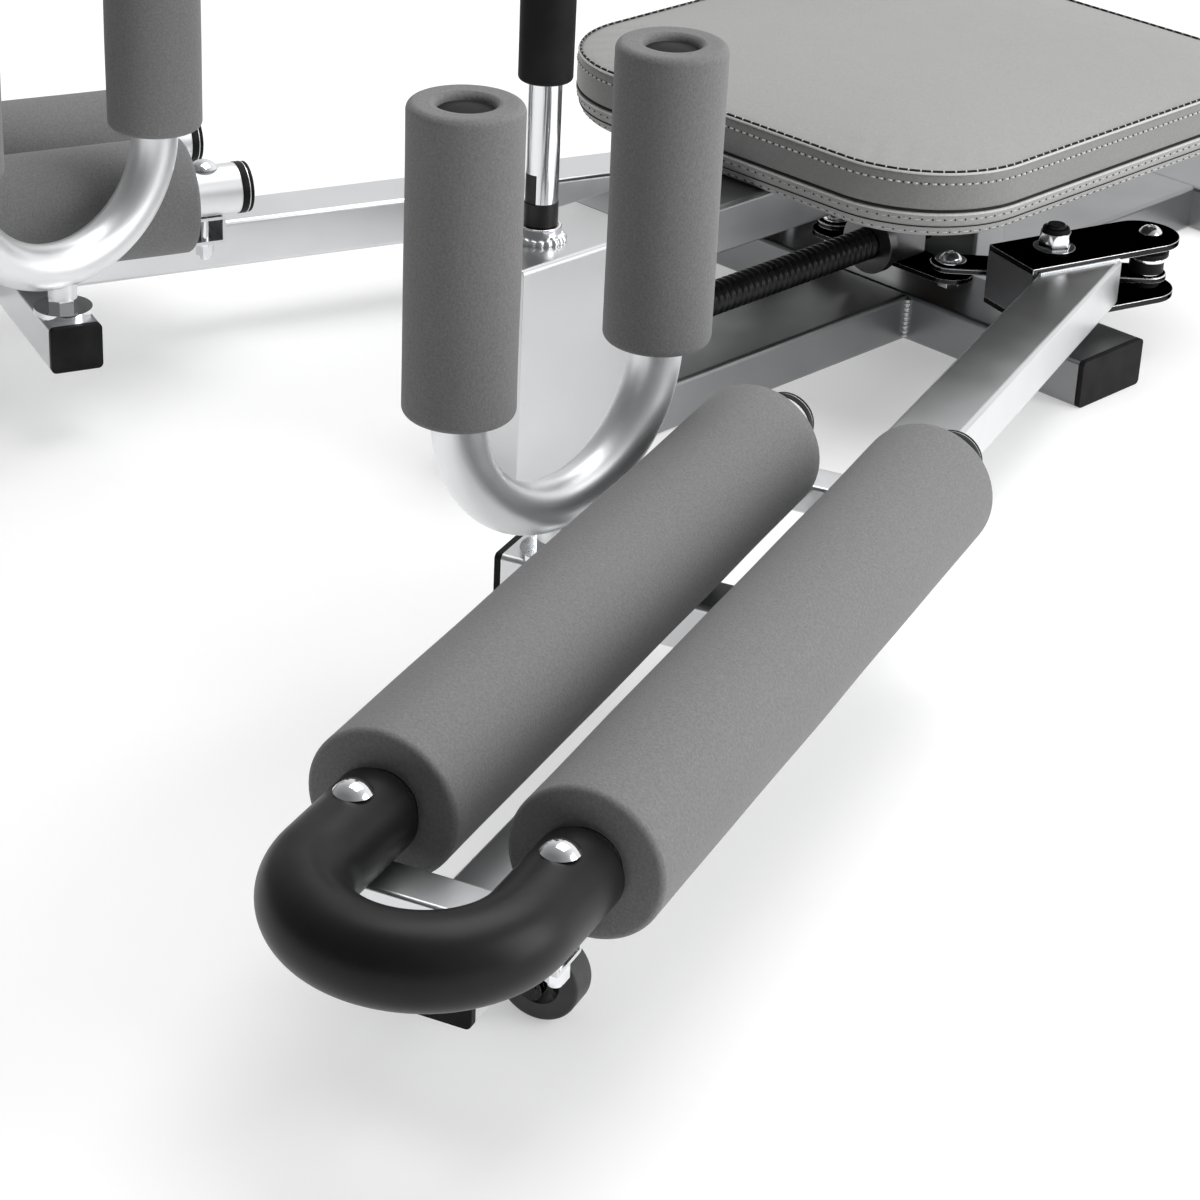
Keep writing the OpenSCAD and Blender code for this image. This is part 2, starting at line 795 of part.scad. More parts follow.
// Cross channels: box section, open ended; the front one is saddled under the bend
module channels(side) {
    color(steel) on_arm(side) difference() {
        for (x = [channel_rear, channel_front])
            translate([x, arm_mid - channel_len / 2, arm_high + channel_h / 2]) along_y()
                linear_extrude(channel_len) difference() {
                    round_rect(channel_w, channel_h, 2.6);
                    square([channel_w - 2 * channel_wall, channel_h - 2 * channel_wall], center = true);
                }
        roller_places() {
            for (x = [channel_rear, channel_front]) translate([x, 0, arm_high - past])
                cylinder(r = 4 + run, h = 60);
            translate([channel_front - 40, 0, roller_z]) along_x()
                cylinder(r = bend_d / 2 + slip, h = 80);
        }
    }
}

// Black bend over the front ends of both roller tubes
module end_bend(side) {
    leg_rear = foam_front + 5;
    bend_r = roller_gap / 2;
    bore = roller_d / 2 + run;
    color(black) on_arm(side) difference() {
        union() {
            translate([bend_al, arm_mid, roller_z]) rotate([0, 0, -90])
                rotate_extrude(angle = 180, $fn = 96) translate([bend_r, 0]) difference() {
                    circle(bend_d / 2, $fn = 64);
                    circle(bore);
                }
            roller_places() translate([leg_rear, 0, roller_z]) along_x()
                pipe(bend_d / 2, bend_d / 2 - bore, bend_al - leg_rear, $fn = 64);
        }
        roller_places() translate([channel_front, 0, roller_z - bend_d])
            cylinder(r = 4 + run, h = 2 * bend_d);
    }
}

// Bolts of the rollers and of the swivel, and the link bolt with its spacer
module arm_bolts(side) {
    washer_z = arm_high - 2;
    color(chrome) on_arm(side) {
        roller_places() for (p = [[channel_rear, roller_d], [channel_front, bend_d]])
            translate([p[0], 0, 0]) {
                seat = roller_z + p[1] / 2;
                translate([0, 0, seat]) dome_head(11, 6);
                translate([0, 0, arm_high - 14]) cylinder(r = 4, h = seat + 1 - arm_high + 14);
                translate([0, 0, washer_z]) cylinder(r = 7.5, h = 2);
                translate([0, 0, washer_z - 8]) hex(13, 8);
            }
        translate([swivel_al, -swivel_in, 0]) {
            translate([0, 0, stub_top]) cylinder(r = 22, h = disc_t);
            translate([0, 0, stub_top + disc_t]) hex(19, nut_t);
            translate([0, 0, arm_low - 8]) hex(19, 8);
            translate([0, 0, arm_low - 8]) cylinder(r = 6, h = stub_h + 8 + 22);
        }
        on_knuckle() translate([lever, 0, 0]) {
            translate([0, 0, link_high + slip]) ring(14, link_bolt_r + run, arm_high - link_high - slip);
            translate([0, 0, arm_high + plate_t]) dome_head(10, 6);
            translate([0, 0, arm_low - plate_t - 6]) cylinder(r = link_bolt_r, h = arm_h + 2 * plate_t + 7);
            translate([0, 0, arm_low - plate_t - 6]) hex(16, 6);
        }
    }
}

// Square tube across the arm that carries the holder
module stub(side) {
    color(steel) on_arm(side) difference() {
        translate([swivel_al, arm_in, arm_low + stub_h / 2]) rotate([90, 0, 0])
            tube(stub_w, stub_h, arm_in - stub_end, tube_wall);
        translate([swivel_al, -swivel_in, arm_low - past]) cylinder(r = 6 + run, h = stub_h + 2 * past);
    }
}

module arm_caps(side) {
    color(black) on_arm(side) {
        translate([arm_len, arm_mid, arm_low + arm_h / 2]) along_x() square_cap(arm_h, arm_w, tube_wall);
        translate([swivel_al, stub_end, arm_low + stub_h / 2]) rotate([90, 0, 0])
            square_cap(stub_w, stub_h, tube_wall);
        roller_places() translate([roller_rear, 0, roller_z]) rotate([0, -90, 0]) {
            cylinder(r = roller_d / 2, h = 3);
            translate([0, 0, -cap_plug]) pipe(roller_d / 2 - tube_wall - slip, 2, cap_plug);
        }
        on_knuckle() translate([lever, 0, arm_low]) ring(12, link_bolt_r + run, link_low - slip - arm_low);
    }
}

// Fork under the arm with the wheel's axle
module wheel_fork(side) {
    cheek_t = 3;
    half = wheel_w / 2 + 1;
    color(steel) on_arm(side) translate([wheel_al, wheel_out, 0]) {
        for (s = [-1, 1]) translate([s * (half + cheek_t / 2) - cheek_t / 2, 0, 0]) along_x()
            linear_extrude(cheek_t) {
                translate([-wheel_d / 2, 0]) circle(7);
                translate([-arm_low + cheek_t, -7]) square([arm_low - cheek_t - wheel_d / 2, 14]);
            }
        translate([-half - cheek_t, -9, arm_low - cheek_t])
            cube([2 * (half + cheek_t), 18, cheek_t]);
        translate([-half - cheek_t - 6, 0, wheel_d / 2]) along_x()
            cylinder(r = 4, h = 2 * (half + cheek_t) + 11);
        translate([-half - cheek_t - 5, 0, wheel_d / 2]) along_x() hex(13, 5);
        translate([half + cheek_t, 0, wheel_d / 2]) along_x() cylinder(r = 7, h = 4);
    }
}

// Wheel with a rubber rim, four spokes and a hub
module wheel(side) {
    hub_r = 7.5;
    rim_in = wheel_d / 2 - 11;
    color(black) on_arm(side) translate([wheel_al - wheel_w / 2, wheel_out, wheel_d / 2]) along_x()
        difference() {
            union() {
                rotate_extrude($fn = 64) {
                    translate([rim_in, 0]) square([wheel_d / 2 - rim_in - 2, wheel_w]);
                    translate([rim_in, 2]) square([wheel_d / 2 - rim_in, wheel_w - 4]);
                    for (z = [2, wheel_w - 2]) translate([wheel_d / 2 - 2, z]) circle(2);
                }
                cylinder(r = hub_r, h = wheel_w);
                for (t = [45:90:315]) rotate([0, 0, t]) translate([0, -1.5, 5])
                    cube([rim_in + 1, 3, wheel_w - 10]);
            }
            translate([0, 0, -past]) cylinder(r = 4 + run, h = wheel_w + 2 * past);
        }
}

// U-shaped tube that holds the leg, with the sleeve that turns on the swivel
module holder(side) {
    wall = holder_wall;
    r = holder_d / 2;
    sleeve_low_z = stub_top + disc_t + nut_t + slip;
    color(steel) on_arm(side) on_holder() difference() {
        union() {
            translate([0, 0, upright_low]) rotate([-90, 0, 0])
                rotate_extrude(angle = 180, $fn = 96) translate([holder_bend, 0]) circle(r, $fn = 64);
            for (s = [-1, 1]) translate([s * holder_bend, 0, upright_low])
                cylinder(r = r, h = upright_len);
            translate([0, 0, sleeve_low_z]) cylinder(r = 11, h = holder_low - sleeve_low_z);
        }
        translate([0, 0, upright_low]) rotate([-90, 0, 0])
            rotate_extrude(angle = 180, $fn = 96) translate([holder_bend, 0]) circle(r - wall, $fn = 64);
        for (s = [-1, 1]) translate([s * holder_bend, 0, upright_low])
            cylinder(r = r - wall, h = upright_len + past);
        translate([0, 0, arm_high]) cylinder(r = 6 + run, h = 30);
    }
}

module upright_foams(side) {
    color(foam_grey) on_arm(side) on_holder() for (s = [-1, 1])
        translate([s * holder_bend, 0, upright_low + slip])
            foam(upright_d / 2, holder_d / 2 + slip, upright_len - slip, 6);
}

module holder_plugs(side) {
    color(black) on_arm(side) on_holder() for (s = [-1, 1])
        translate([s * holder_bend, 0, upright_high]) {
            intersection() {
                cylinder(r = holder_d / 2, h = 4);
                translate([0, 0, 4 - 60]) sphere(60, $fn = 96);
            }
            translate([0, 0, -cap_plug]) pipe(holder_d / 2 - holder_wall - slip, 2, cap_plug);
        }
}

// Column tube whose slotted foot drops over the key of the drive shaft
module column_tube() {
    color(chrome) translate([0, -column_y, 0]) difference() {
        translate([0, 0, collar_top]) pipe(column_d / 2, tube_wall, column_top - collar_top);
        translate([-key_w / 2 - run, -column_d, collar_top - past])
            cube([key_w + 2 * run, 2 * column_d, key_top - collar_top + past + run]);
    }
}

module column_sleeve() {
    r = sleeve_d / 2;
    rim = 3;
    color(black) translate([0, -column_y, sleeve_low])
        foam(r, column_d / 2 + run, sleeve_len, rim);
}

// Crossbar on top of the column, in a short saddle tube
module handlebar() {
    color(chrome) translate([0, -column_y, column_top - saddle_h]) {
        ring(saddle_r, column_d / 2 + run, saddle_h);
        translate([0, 0, saddle_h]) cylinder(r = saddle_r, h = bar_r + 2 * bar_rise);
        translate([-bar_w / 2 + grip_end, 0, saddle_h + bar_rise + bar_r]) along_x()
            cylinder(r = bar_r, h = bar_w - 2 * grip_end);
    }
}

module handlebar_grips() {
    color(black) for (s = [0, 1]) mirror([s, 0, 0])
        translate([bar_w / 2 - grip_len, -column_y, column_top + bar_rise + bar_r]) along_x() difference() {
            foam(grip_d / 2, 0, grip_len, 5);
            translate([0, 0, -past]) cylinder(r = bar_r + run, h = grip_len - grip_end + past + run);
        }
}

rails();
cross_tube();
rear_foot();
gear_housing();
seat_beam();
pillar();
frame_caps();
pivot_studs();
pivot_nuts();
thrust_washers();
seat_board();
seat_pad();
seat_bolts();
shaft_boss();
drive_bearings();
drive_shaft();
drive_bevel();
column_tube();
column_sleeve();
handlebar();
handlebar_grips();
lead_screw();
screw_bevel();
crosshead();
screw_nut();
crosshead_bolts();
link(near);  // near_link
link(far);  // far_link
arm_tube(near);  // near_arm_tube
arm_tube(far);  // far_arm_tube
arm_plates(near);  // near_arm_plates
arm_plates(far);  // far_arm_plates
roller_tubes(near);  // near_roller_tubes
roller_tubes(far);  // far_roller_tubes
roller_foams(near);  // near_roller_foams
roller_foams(far);  // far_roller_foams
channels(near);  // near_channels
channels(far);  // far_channels
end_bend(near);  // near_end_bend
end_bend(far);  // far_end_bend
arm_bolts(near);  // near_arm_bolts
arm_bolts(far);  // far_arm_bolts
stub(near);  // near_stub
stub(far);  // far_stub
arm_caps(near);  // near_arm_caps
arm_caps(far);  // far_arm_caps
wheel_fork(near);  // near_wheel_fork
wheel_fork(far);  // far_wheel_fork
wheel(near);  // near_wheel
wheel(far);  // far_wheel
holder(near);  // near_holder
holder(far);  // far_holder
upright_foams(near);  // near_upright_foams
upright_foams(far);  // far_upright_foams
holder_plugs(near);  // near_holder_plugs
holder_plugs(far);  // far_holder_plugs
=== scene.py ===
# %% [markdown]
# # A leg stretching machine, dressed around its steel frame
# The frame, arms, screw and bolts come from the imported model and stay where
# they are. This lesson adds what the solids can't show: paint, plating, foam
# skin, a sewn seat pad, stitches, weld beads and screw heads. Every length is
# in metres, and every shape sits in the machine's own frame: origin on the
# floor between the two arm pivots, +Y behind the user, +Z up.
# %% Load the frame and keep its box
import json
import math
import bmesh
import bpy
import numpy as np
from mathutils import Matrix, Vector
from mathutils.bvhtree import BVHTree

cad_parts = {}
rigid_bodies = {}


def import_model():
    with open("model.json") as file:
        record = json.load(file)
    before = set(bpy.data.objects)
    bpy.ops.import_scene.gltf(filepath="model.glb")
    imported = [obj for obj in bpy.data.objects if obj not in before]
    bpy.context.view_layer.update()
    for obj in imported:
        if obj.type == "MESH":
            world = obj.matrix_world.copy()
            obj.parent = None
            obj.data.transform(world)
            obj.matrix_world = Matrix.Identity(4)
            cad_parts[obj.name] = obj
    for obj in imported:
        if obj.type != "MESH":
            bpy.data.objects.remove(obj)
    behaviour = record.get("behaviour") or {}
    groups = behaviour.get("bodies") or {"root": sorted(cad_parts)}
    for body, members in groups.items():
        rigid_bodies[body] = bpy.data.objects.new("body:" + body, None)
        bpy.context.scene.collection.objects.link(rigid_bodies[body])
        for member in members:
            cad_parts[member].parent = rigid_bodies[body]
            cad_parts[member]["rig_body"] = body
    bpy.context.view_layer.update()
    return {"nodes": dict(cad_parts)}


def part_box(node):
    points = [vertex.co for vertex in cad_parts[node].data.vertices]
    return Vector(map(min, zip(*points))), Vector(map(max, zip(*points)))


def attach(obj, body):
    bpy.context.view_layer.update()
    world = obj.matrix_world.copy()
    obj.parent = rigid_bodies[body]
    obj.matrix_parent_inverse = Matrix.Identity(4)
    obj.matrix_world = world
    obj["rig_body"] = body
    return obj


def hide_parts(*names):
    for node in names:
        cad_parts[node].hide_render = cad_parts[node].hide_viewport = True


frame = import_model()
NODES = frame["nodes"]
TAU = 2 * math.pi

# %% [markdown]
# ## Camera
# The photographer stood in front and to the side, looked down by 28 degrees
# and held the camera 3 degrees off level. A long lens keeps the parallel
# tubes nearly parallel. The camera's three axes are written out as vectors,
# because that shows exactly what pitch and roll do to them.
# %% Camera
FOCAL_PX, PICTURE_PX = 3174, 1200
SENSOR_MM = 36
PITCH, ROLL, YAW = (math.radians(a) for a in (27.77, 2.78, 43.51))
CAMERA_PLACE = Vector((1.5494, -1.982, 1.030))


def aim_camera(place):
    """The camera's right, up and back axes are the columns of its matrix."""
    look = Vector((-math.sin(YAW), math.cos(YAW), 0))
    side = Vector((math.cos(YAW), math.sin(YAW), 0))
    ahead = math.cos(PITCH) * look - math.sin(PITCH) * Vector((0, 0, 1))
    up = math.sin(PITCH) * look + math.cos(PITCH) * Vector((0, 0, 1))
    right = math.cos(ROLL) * side + math.sin(ROLL) * up
    top = -math.sin(ROLL) * side + math.cos(ROLL) * up
    turn = Matrix((right, top, -ahead)).transposed().to_4x4()
    data = bpy.data.cameras.new("camera")
    data.sensor_width = SENSOR_MM
    data.lens = FOCAL_PX / PICTURE_PX * SENSOR_MM
    camera = bpy.data.objects.new("camera", data)
    camera.matrix_world = Matrix.Translation(place) @ turn
    bpy.context.scene.collection.objects.link(camera)
    bpy.context.scene.camera = camera
    return camera


camera = aim_camera(CAMERA_PLACE)
print("lens:", round(camera.data.lens, 1), "mm")

# %% [markdown]
# ## Light
# The photograph was lit from above and from behind on the right: side faces
# that look back are nearly white and faces that look at the camera are dim. So
# the world is a soft ramp on direction, bright behind and dull in front, and
# two softboxes add the top and right light. Only the camera sees the sky as an
# even pale grey, so the background is plain in every view.
# %% Light
SKY = {  # axis of a direction: stops of (how far along the axis, brightness)
    (0, 0, 1): [(-1, 0.3), (0, 0.5), (0.15, 0.9), (1, 1.0)],
    (0, 1, 0): [(-1, 0.15), (-0.6, 0.18), (0, 0.36), (0.5, 0.75), (0.85, 1.0)],
}
SKY_STRENGTH, BACKDROP = 1.1, 0.86
MIX_A, MIX_B, MIX_OUT = 6, 7, 2  # the colour sockets of a Mix node
MIDDLE = Vector((0.1, -0.4, 0.1))


def link(tree, a, out, b, into):
    """Joins output `out` of node a to input `into` of node b."""
    tree.links.new(a.outputs[out], b.inputs[into])


def rgba(colour):
    """Four values of a colour, where one plain number is a grey."""
    return (*((colour,) * 3 if isinstance(colour, float) else colour), 1)


def ramp(tree, stops):
    """A straight colour ramp with (position, colour) stops."""
    node = tree.nodes.new("ShaderNodeValToRGB")
    while len(node.color_ramp.elements) < len(stops):
        node.color_ramp.elements.new(0.5)
    for element, (at, colour) in zip(node.color_ramp.elements, stops):
        element.position = at
        element.color = rgba(colour)
    return node


def colour_mix(tree, blend):
    """A Mix node for colours that starts from white."""
    mix = tree.nodes.new("ShaderNodeMix")
    mix.data_type, mix.blend_type = "RGBA", blend
    mix.inputs["Factor"].default_value = 1
    mix.inputs[MIX_A].default_value = rgba(1.0)
    return mix


def studio_world():
    """Sky brightness = product of one ramp for each axis in SKY. Where the
    camera sees the sky itself, it is an even pale grey."""
    world = bpy.data.worlds.new("studio")
    world.use_nodes = True
    t = world.node_tree
    where = t.nodes.new("ShaderNodeTexCoord")
    before = None
    for axis, stops in SKY.items():
        along = t.nodes.new("ShaderNodeVectorMath")
        along.operation = "DOT_PRODUCT"
        along.inputs[1].default_value = axis
        link(t, where, "Generated", along, 0)
        unit = t.nodes.new("ShaderNodeMapRange")
        unit.inputs["From Min"].default_value = -1
        link(t, along, "Value", unit, "Value")
        shade = ramp(t, [((at + 1) / 2, grey) for at, grey in stops])
        link(t, unit, "Result", shade, "Fac")
        mix = colour_mix(t, "MULTIPLY")
        if before:
            link(t, before, MIX_OUT, mix, MIX_A)
        link(t, shade, "Color", mix, MIX_B)
        before = mix
    eye = t.nodes.new("ShaderNodeLightPath")
    seen = colour_mix(t, "MIX")
    seen.inputs[MIX_B].default_value = rgba(BACKDROP)
    link(t, eye, "Is Camera Ray", seen, "Factor")
    link(t, before, MIX_OUT, seen, MIX_A)
    link(t, seen, MIX_OUT, t.nodes["Background"], "Color")
    t.nodes["Background"].inputs["Strength"].default_value = SKY_STRENGTH
    bpy.context.scene.world = world


def softbox(name, place, width, height, watts):
    """A rectangular lamp at `place` that faces the middle of the machine."""
    data = bpy.data.lights.new(name, "AREA")
    data.shape = "RECTANGLE"
    data.size, data.size_y, data.energy = width, height, watts
    lamp = bpy.data.objects.new(name, data)
    lamp.location = place
    lamp.rotation_euler = (MIDDLE - Vector(place)).to_track_quat("-Z", "Y").to_euler()
    bpy.context.scene.collection.objects.link(lamp)


studio_world()
softbox("overhead", (0.0, 0.2, 3.2), width=2.4, height=2.4, watts=64)
softbox("right_side", (3.2, 0.9, 1.4), width=1.8, height=2.8, watts=74)
bpy.context.scene.view_settings.view_transform = "Standard"

# %% [markdown]
# ## Mesh tools
# Almost every new shape here is a grid of points worked out at once: a
# section carried along a path, or a profile turned about an axis. One helper
# makes the quads of such a grid, and one puts arrays into a mesh. The others
# read or write all of a mesh's points in one call, with no loop over them.
# %% Mesh tools
def quads(rows, cols, close_rows=False, close_cols=False):
    """Faces (i,j) (i+1,j) (i+1,j+1) (i,j+1) of a rows x cols grid of points."""
    i = np.arange(rows if close_rows else rows - 1)
    j = np.arange(cols if close_cols else cols - 1)
    i, j = (a.ravel() for a in np.meshgrid(i, j, indexing="ij"))
    i2, j2 = (i + 1) % rows, (j + 1) % cols
    return np.stack([i * cols + j, i2 * cols + j, i2 * cols + j2, i * cols + j2], 1)


def add_mesh(name, points, faces, body, material, slot, merge=0):
    """A smooth mesh object from arrays, its faces turned outwards and points
    closer than `merge` made one. With a body it rides on it, and its finish is
    `material`. `slot` is not used."""
    mesh = bpy.data.meshes.new(name)
    points = np.asarray(points, float).reshape(-1, 3)
    mesh.from_pydata(points.tolist(), [], [list(map(int, f)) for f in faces])
    work = bmesh.new()
    work.from_mesh(mesh)
    if merge:
        bmesh.ops.remove_doubles(work, verts=work.verts, dist=merge)
    bmesh.ops.recalc_face_normals(work, faces=work.faces)
    work.to_mesh(mesh)
    work.free()
    mesh.polygons.foreach_set("use_smooth", [True] * len(mesh.polygons))
    mesh.materials.append(material)
    piece = bpy.data.objects.new(name, mesh)
    bpy.context.scene.collection.objects.link(piece)
    if body:
        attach(piece, body)
    return piece


def coordinates(mesh):
    """All vertex positions of a mesh, one row for each vertex."""
    co = np.empty(len(mesh.vertices) * 3, np.float32)
    mesh.vertices.foreach_get("co", co)
    return co.reshape(-1, 3).astype(float)


def set_coordinates(mesh, co):
    """Moves all vertices of a mesh to the rows of an array."""
    mesh.vertices.foreach_set("co", co.astype(np.float32).ravel())
    mesh.update()


def face_centres(mesh):
    """The middle of each face, one row for each face."""
    centres = np.empty(len(mesh.polygons) * 3, np.float32)
    mesh.polygons.foreach_get("center", centres)
    return centres.reshape(-1, 3)


print("mesh tools: quads of a 3 x 4 grid:", len(quads(3, 4)))

# %% [markdown]
# ### Tubes along a path
# Welds, seams and stitches are a small section carried along a path. At each
# point of the path, two directions across it place the section.
# %% Swept tubes
def sweep(path, section, up, close=False):
    """Point (i, j) = path_i + a_j side_i + b_j top_i, where side = tangent x
    up and top = side x tangent, for a section of (a, b) points."""
    path = np.asarray(path, float)
    if close:
        tangent = np.roll(path, -1, 0) - np.roll(path, 1, 0)
    else:
        tangent = np.gradient(path, axis=0)
    tangent /= np.linalg.norm(tangent, axis=1, keepdims=True)
    side = np.cross(tangent, up)
    side /= np.linalg.norm(side, axis=1, keepdims=True)
    top = np.cross(side, tangent)
    a, b = np.asarray(section, float).T
    return path[:, None] + a[None, :, None] * side[:, None] + b[None, :, None] * top[:, None]


def disc(radius, count):
    """Points of a circle: (r cos t, r sin t)."""
    t = np.linspace(0, TAU, count, endpoint=False)
    return np.stack([radius * np.cos(t), radius * np.sin(t)], 1)


def tube_faces(rows, cols, close=False):
    """Quads of a swept tube, with a face over each end if it is open."""
    body = quads(rows, cols, close_rows=close, close_cols=True).tolist()
    if not close:
        body += [list(range(cols)), list(range((rows - 1) * cols, rows * cols))[::-1]]
    return body


print("swept tools: faces of a tube of 3 rings:", len(tube_faces(3, 8)))

# %% [markdown]
# ## Finish tools
# A real surface is never one flat value. Paint has faint orange peel, plated
# steel has rolling marks, foam has pores and vinyl has a pebbled grain. Each
# finish is a Principled shader whose plain values sit on its own sockets;
# noise on object coordinates, in metres, gives the small changes.
# %% Finish tools
def finish(name, colour, rough, metallic=0.0, **sockets):
    """A material with a Principled shader and its plain values set."""
    m = bpy.data.materials.new(name)
    m.use_nodes = True
    shader = m.node_tree.nodes["Principled BSDF"]
    shader.inputs["Base Color"].default_value = rgba(colour)
    shader.inputs["Roughness"].default_value = rough
    shader.inputs["Metallic"].default_value = metallic
    for socket, value in sockets.items():
        shader.inputs[socket.replace("_", " ")].default_value = value
    m.diffuse_color = rgba(colour)
    return m


def noise(m, scale, detail=2, stretch=(1, 1, 1), kind="ShaderNodeTexNoise"):
    """A noise of `scale` features a metre on object coordinates."""
    t = m.node_tree
    where = t.nodes.new("ShaderNodeTexCoord")
    place = t.nodes.new("ShaderNodeMapping")
    place.inputs["Scale"].default_value = stretch
    tex = t.nodes.new(kind)
    tex.inputs["Scale"].default_value = scale
    tex.inputs["Detail"].default_value = detail
    link(t, where, "Object", place, "Vector")
    link(t, place, "Vector", tex, "Vector")
    return tex


def tint(m, tex, low, high):
    """Base colour = ramp from low to high while the noise goes from 0.3 to 0.7."""
    node = ramp(m.node_tree, [(0.3, low), (0.7, high)])
    link(m.node_tree, tex, 0, node, "Fac")
    link(m.node_tree, node, "Color", m.node_tree.nodes["Principled BSDF"], "Base Color")


def polish(m, tex, low, high):
    """Roughness = low + (high - low) x noise."""
    t = m.node_tree
    node = t.nodes.new("ShaderNodeMapRange")
    node.inputs["To Min"].default_value, node.inputs["To Max"].default_value = low, high
    link(t, tex, 0, node, "Value")
    link(t, node, "Result", t.nodes["Principled BSDF"], "Roughness")


def bump(m, tex, depth, strength=1.0):
    """Adds `depth` metres of the texture's first output to the shading normal,
    on top of the bumps that the material already has."""
    t = m.node_tree
    shader = t.nodes["Principled BSDF"]
    node = t.nodes.new("ShaderNodeBump")
    node.inputs["Strength"].default_value = strength
    node.inputs["Distance"].default_value = depth
    link(t, tex, 0, node, "Height")
    before = shader.inputs["Normal"].links
    if before:
        t.links.new(before[0].from_socket, node.inputs["Normal"])
    link(t, node, "Normal", shader, "Normal")


print("finish tools ready, materials so far:", len(bpy.data.materials))

# %% [markdown]
# ## Floor
# The floor is plain and pale, with a little light of its own that keeps the
# shadows soft. Upright metal faces mirror it, because the camera looks down.
# %% Floor
FLOOR_RADIUS, FLOOR_SIDES = 14.0, 96


def plain_floor():
    """Disc at z = 0: a ring of quads from near the middle out to the rim, and
    one small face that closes the middle."""
    t = np.linspace(0, TAU, FLOOR_SIDES, endpoint=False)
    r = np.array([0.01, FLOOR_RADIUS])
    points = np.stack([np.outer(r, np.cos(t)), np.outer(r, np.sin(t)), 0 * np.outer(r, t)], -1)
    faces = [*quads(2, FLOOR_SIDES, close_cols=True).tolist(), list(range(FLOOR_SIDES))[::-1]]
    pale = finish("pale_floor", 0.7, 0.9, Emission_Color=rgba(1.0), Emission_Strength=0.36)
    add_mesh("floor", points, faces, None, pale, None)


plain_floor()
print("floor:", 2 * FLOOR_RADIUS, "m across")

# %% [markdown]
# ## Metal finishes
# The arm tubes are coated in a bright silver and the housing's sheet in a softer
# one. The base and the bracket walls wear the same silver paint, but darker and
# darkest copies of it are painted shade under the seat. All are mostly metallic,
# softly rough, with an orange peel a few millimetres wide. Plates and links are
# plated steel, rolled in one direction, so their noise is stretched; their
# near-black colour is a painted reflection of the dark seat underside. Their cut
# edges get a bright metal as a painted highlight.
# %% Metal finishes
def coat(name, colour, gloss_noise, gloss, shade_noise, shades):
    """A metallic paint whose roughness and shade wander, with orange peel."""
    m = finish(name, colour, 0.3, 0.97)
    polish(m, noise(m, *gloss_noise), *gloss)
    tint(m, noise(m, *shade_noise), *shades)
    bump(m, noise(m, 420, 2), 0.00008, 0.5)
    return m


silver = coat("silver_coat", (0.72, 0.73, 0.74), (22, 4), (0.25, 0.37),
              (9, 3), ((0.68, 0.69, 0.7), (0.76, 0.77, 0.78)))
sheet = coat("sheet_silver", (0.6, 0.6, 0.61), (18, 4), (0.25, 0.38),
             (7, 4), ((0.56, 0.565, 0.57), (0.63, 0.635, 0.64)))
# painted shade: the frame's silver paint made darker for the base parts that stand under the seat
base_painted_shade = coat("base_silver_painted_shade", (0.3, 0.305, 0.31), (22, 4), (0.24, 0.38),
            (9, 3), ((0.26, 0.265, 0.27), (0.33, 0.335, 0.34)))
# painted shade on the bracket walls: the frame's silver made darkest; the screw nut takes it as its own
# dark steel
painted_shade_and_nut_steel = coat("silver_painted_shade_and_nut_steel", (0.2, 0.2, 0.205), (24, 4), (0.24, 0.38),
               (11, 3), ((0.17, 0.17, 0.175), (0.23, 0.23, 0.235)))

# painted highlight: a bright metal for the rounded edges of the plated pieces
edge_highlight = finish("painted_edge_highlight", 0.8, 0.25, 1.0)
polish(edge_highlight, noise(edge_highlight, 300, 3), 0.18, 0.34)

# painted reflection: plated steel made nearly black, standing in for the dark seat underside that its
# faces mirror
plated_dark_reflection = finish("plated_steel_painted_reflection", (0.03, 0.03, 0.031), 0.14, 1.0, Specular_Tint=rgba(0.3))
polish(plated_dark_reflection, noise(plated_dark_reflection, 40, 4, (1, 6, 1)), 0.1, 0.19)
tint(plated_dark_reflection, noise(plated_dark_reflection, 12, 3), (0.024, 0.024, 0.025), (0.04, 0.04, 0.041))
bump(plated_dark_reflection, noise(plated_dark_reflection, 900, 3, (1, 0.12, 1)), 0.00003, 0.3)

chrome = finish("bright_chrome", (0.82, 0.83, 0.85), 0.09, 1.0)
polish(chrome, noise(chrome, 60, 4), 0.05, 0.16)
bump(chrome, noise(chrome, 160, 3), 0.00006, 0.3)

zinc = finish("tube_silver", (0.8, 0.81, 0.82), 0.4, 0.97)
polish(zinc, noise(zinc, 30, 4), 0.35, 0.45)
tint(zinc, noise(zinc, 14, 3), (0.77, 0.78, 0.79), (0.84, 0.85, 0.86))
bump(zinc, noise(zinc, 500, 2), 0.00006, 0.4)

blackened = finish("blackened_steel", (0.015, 0.015, 0.016), 0.28, 0.5)
polish(blackened, noise(blackened, 90, 4), 0.2, 0.42)
tint(blackened, noise(blackened, 60, 3), (0.009, 0.009, 0.01), (0.022, 0.022, 0.023))

gear_grey = finish("gear_grey", 0.2, 0.4, 1.0)
polish(gear_grey, noise(gear_grey, 80, 4), 0.3, 0.5)

bronze = finish("bush_bronze", (0.52, 0.34, 0.14), 0.35, 1.0)
polish(bronze, noise(bronze, 80, 4), 0.28, 0.5)
print("metal finishes done, materials so far:", len(bpy.data.materials))

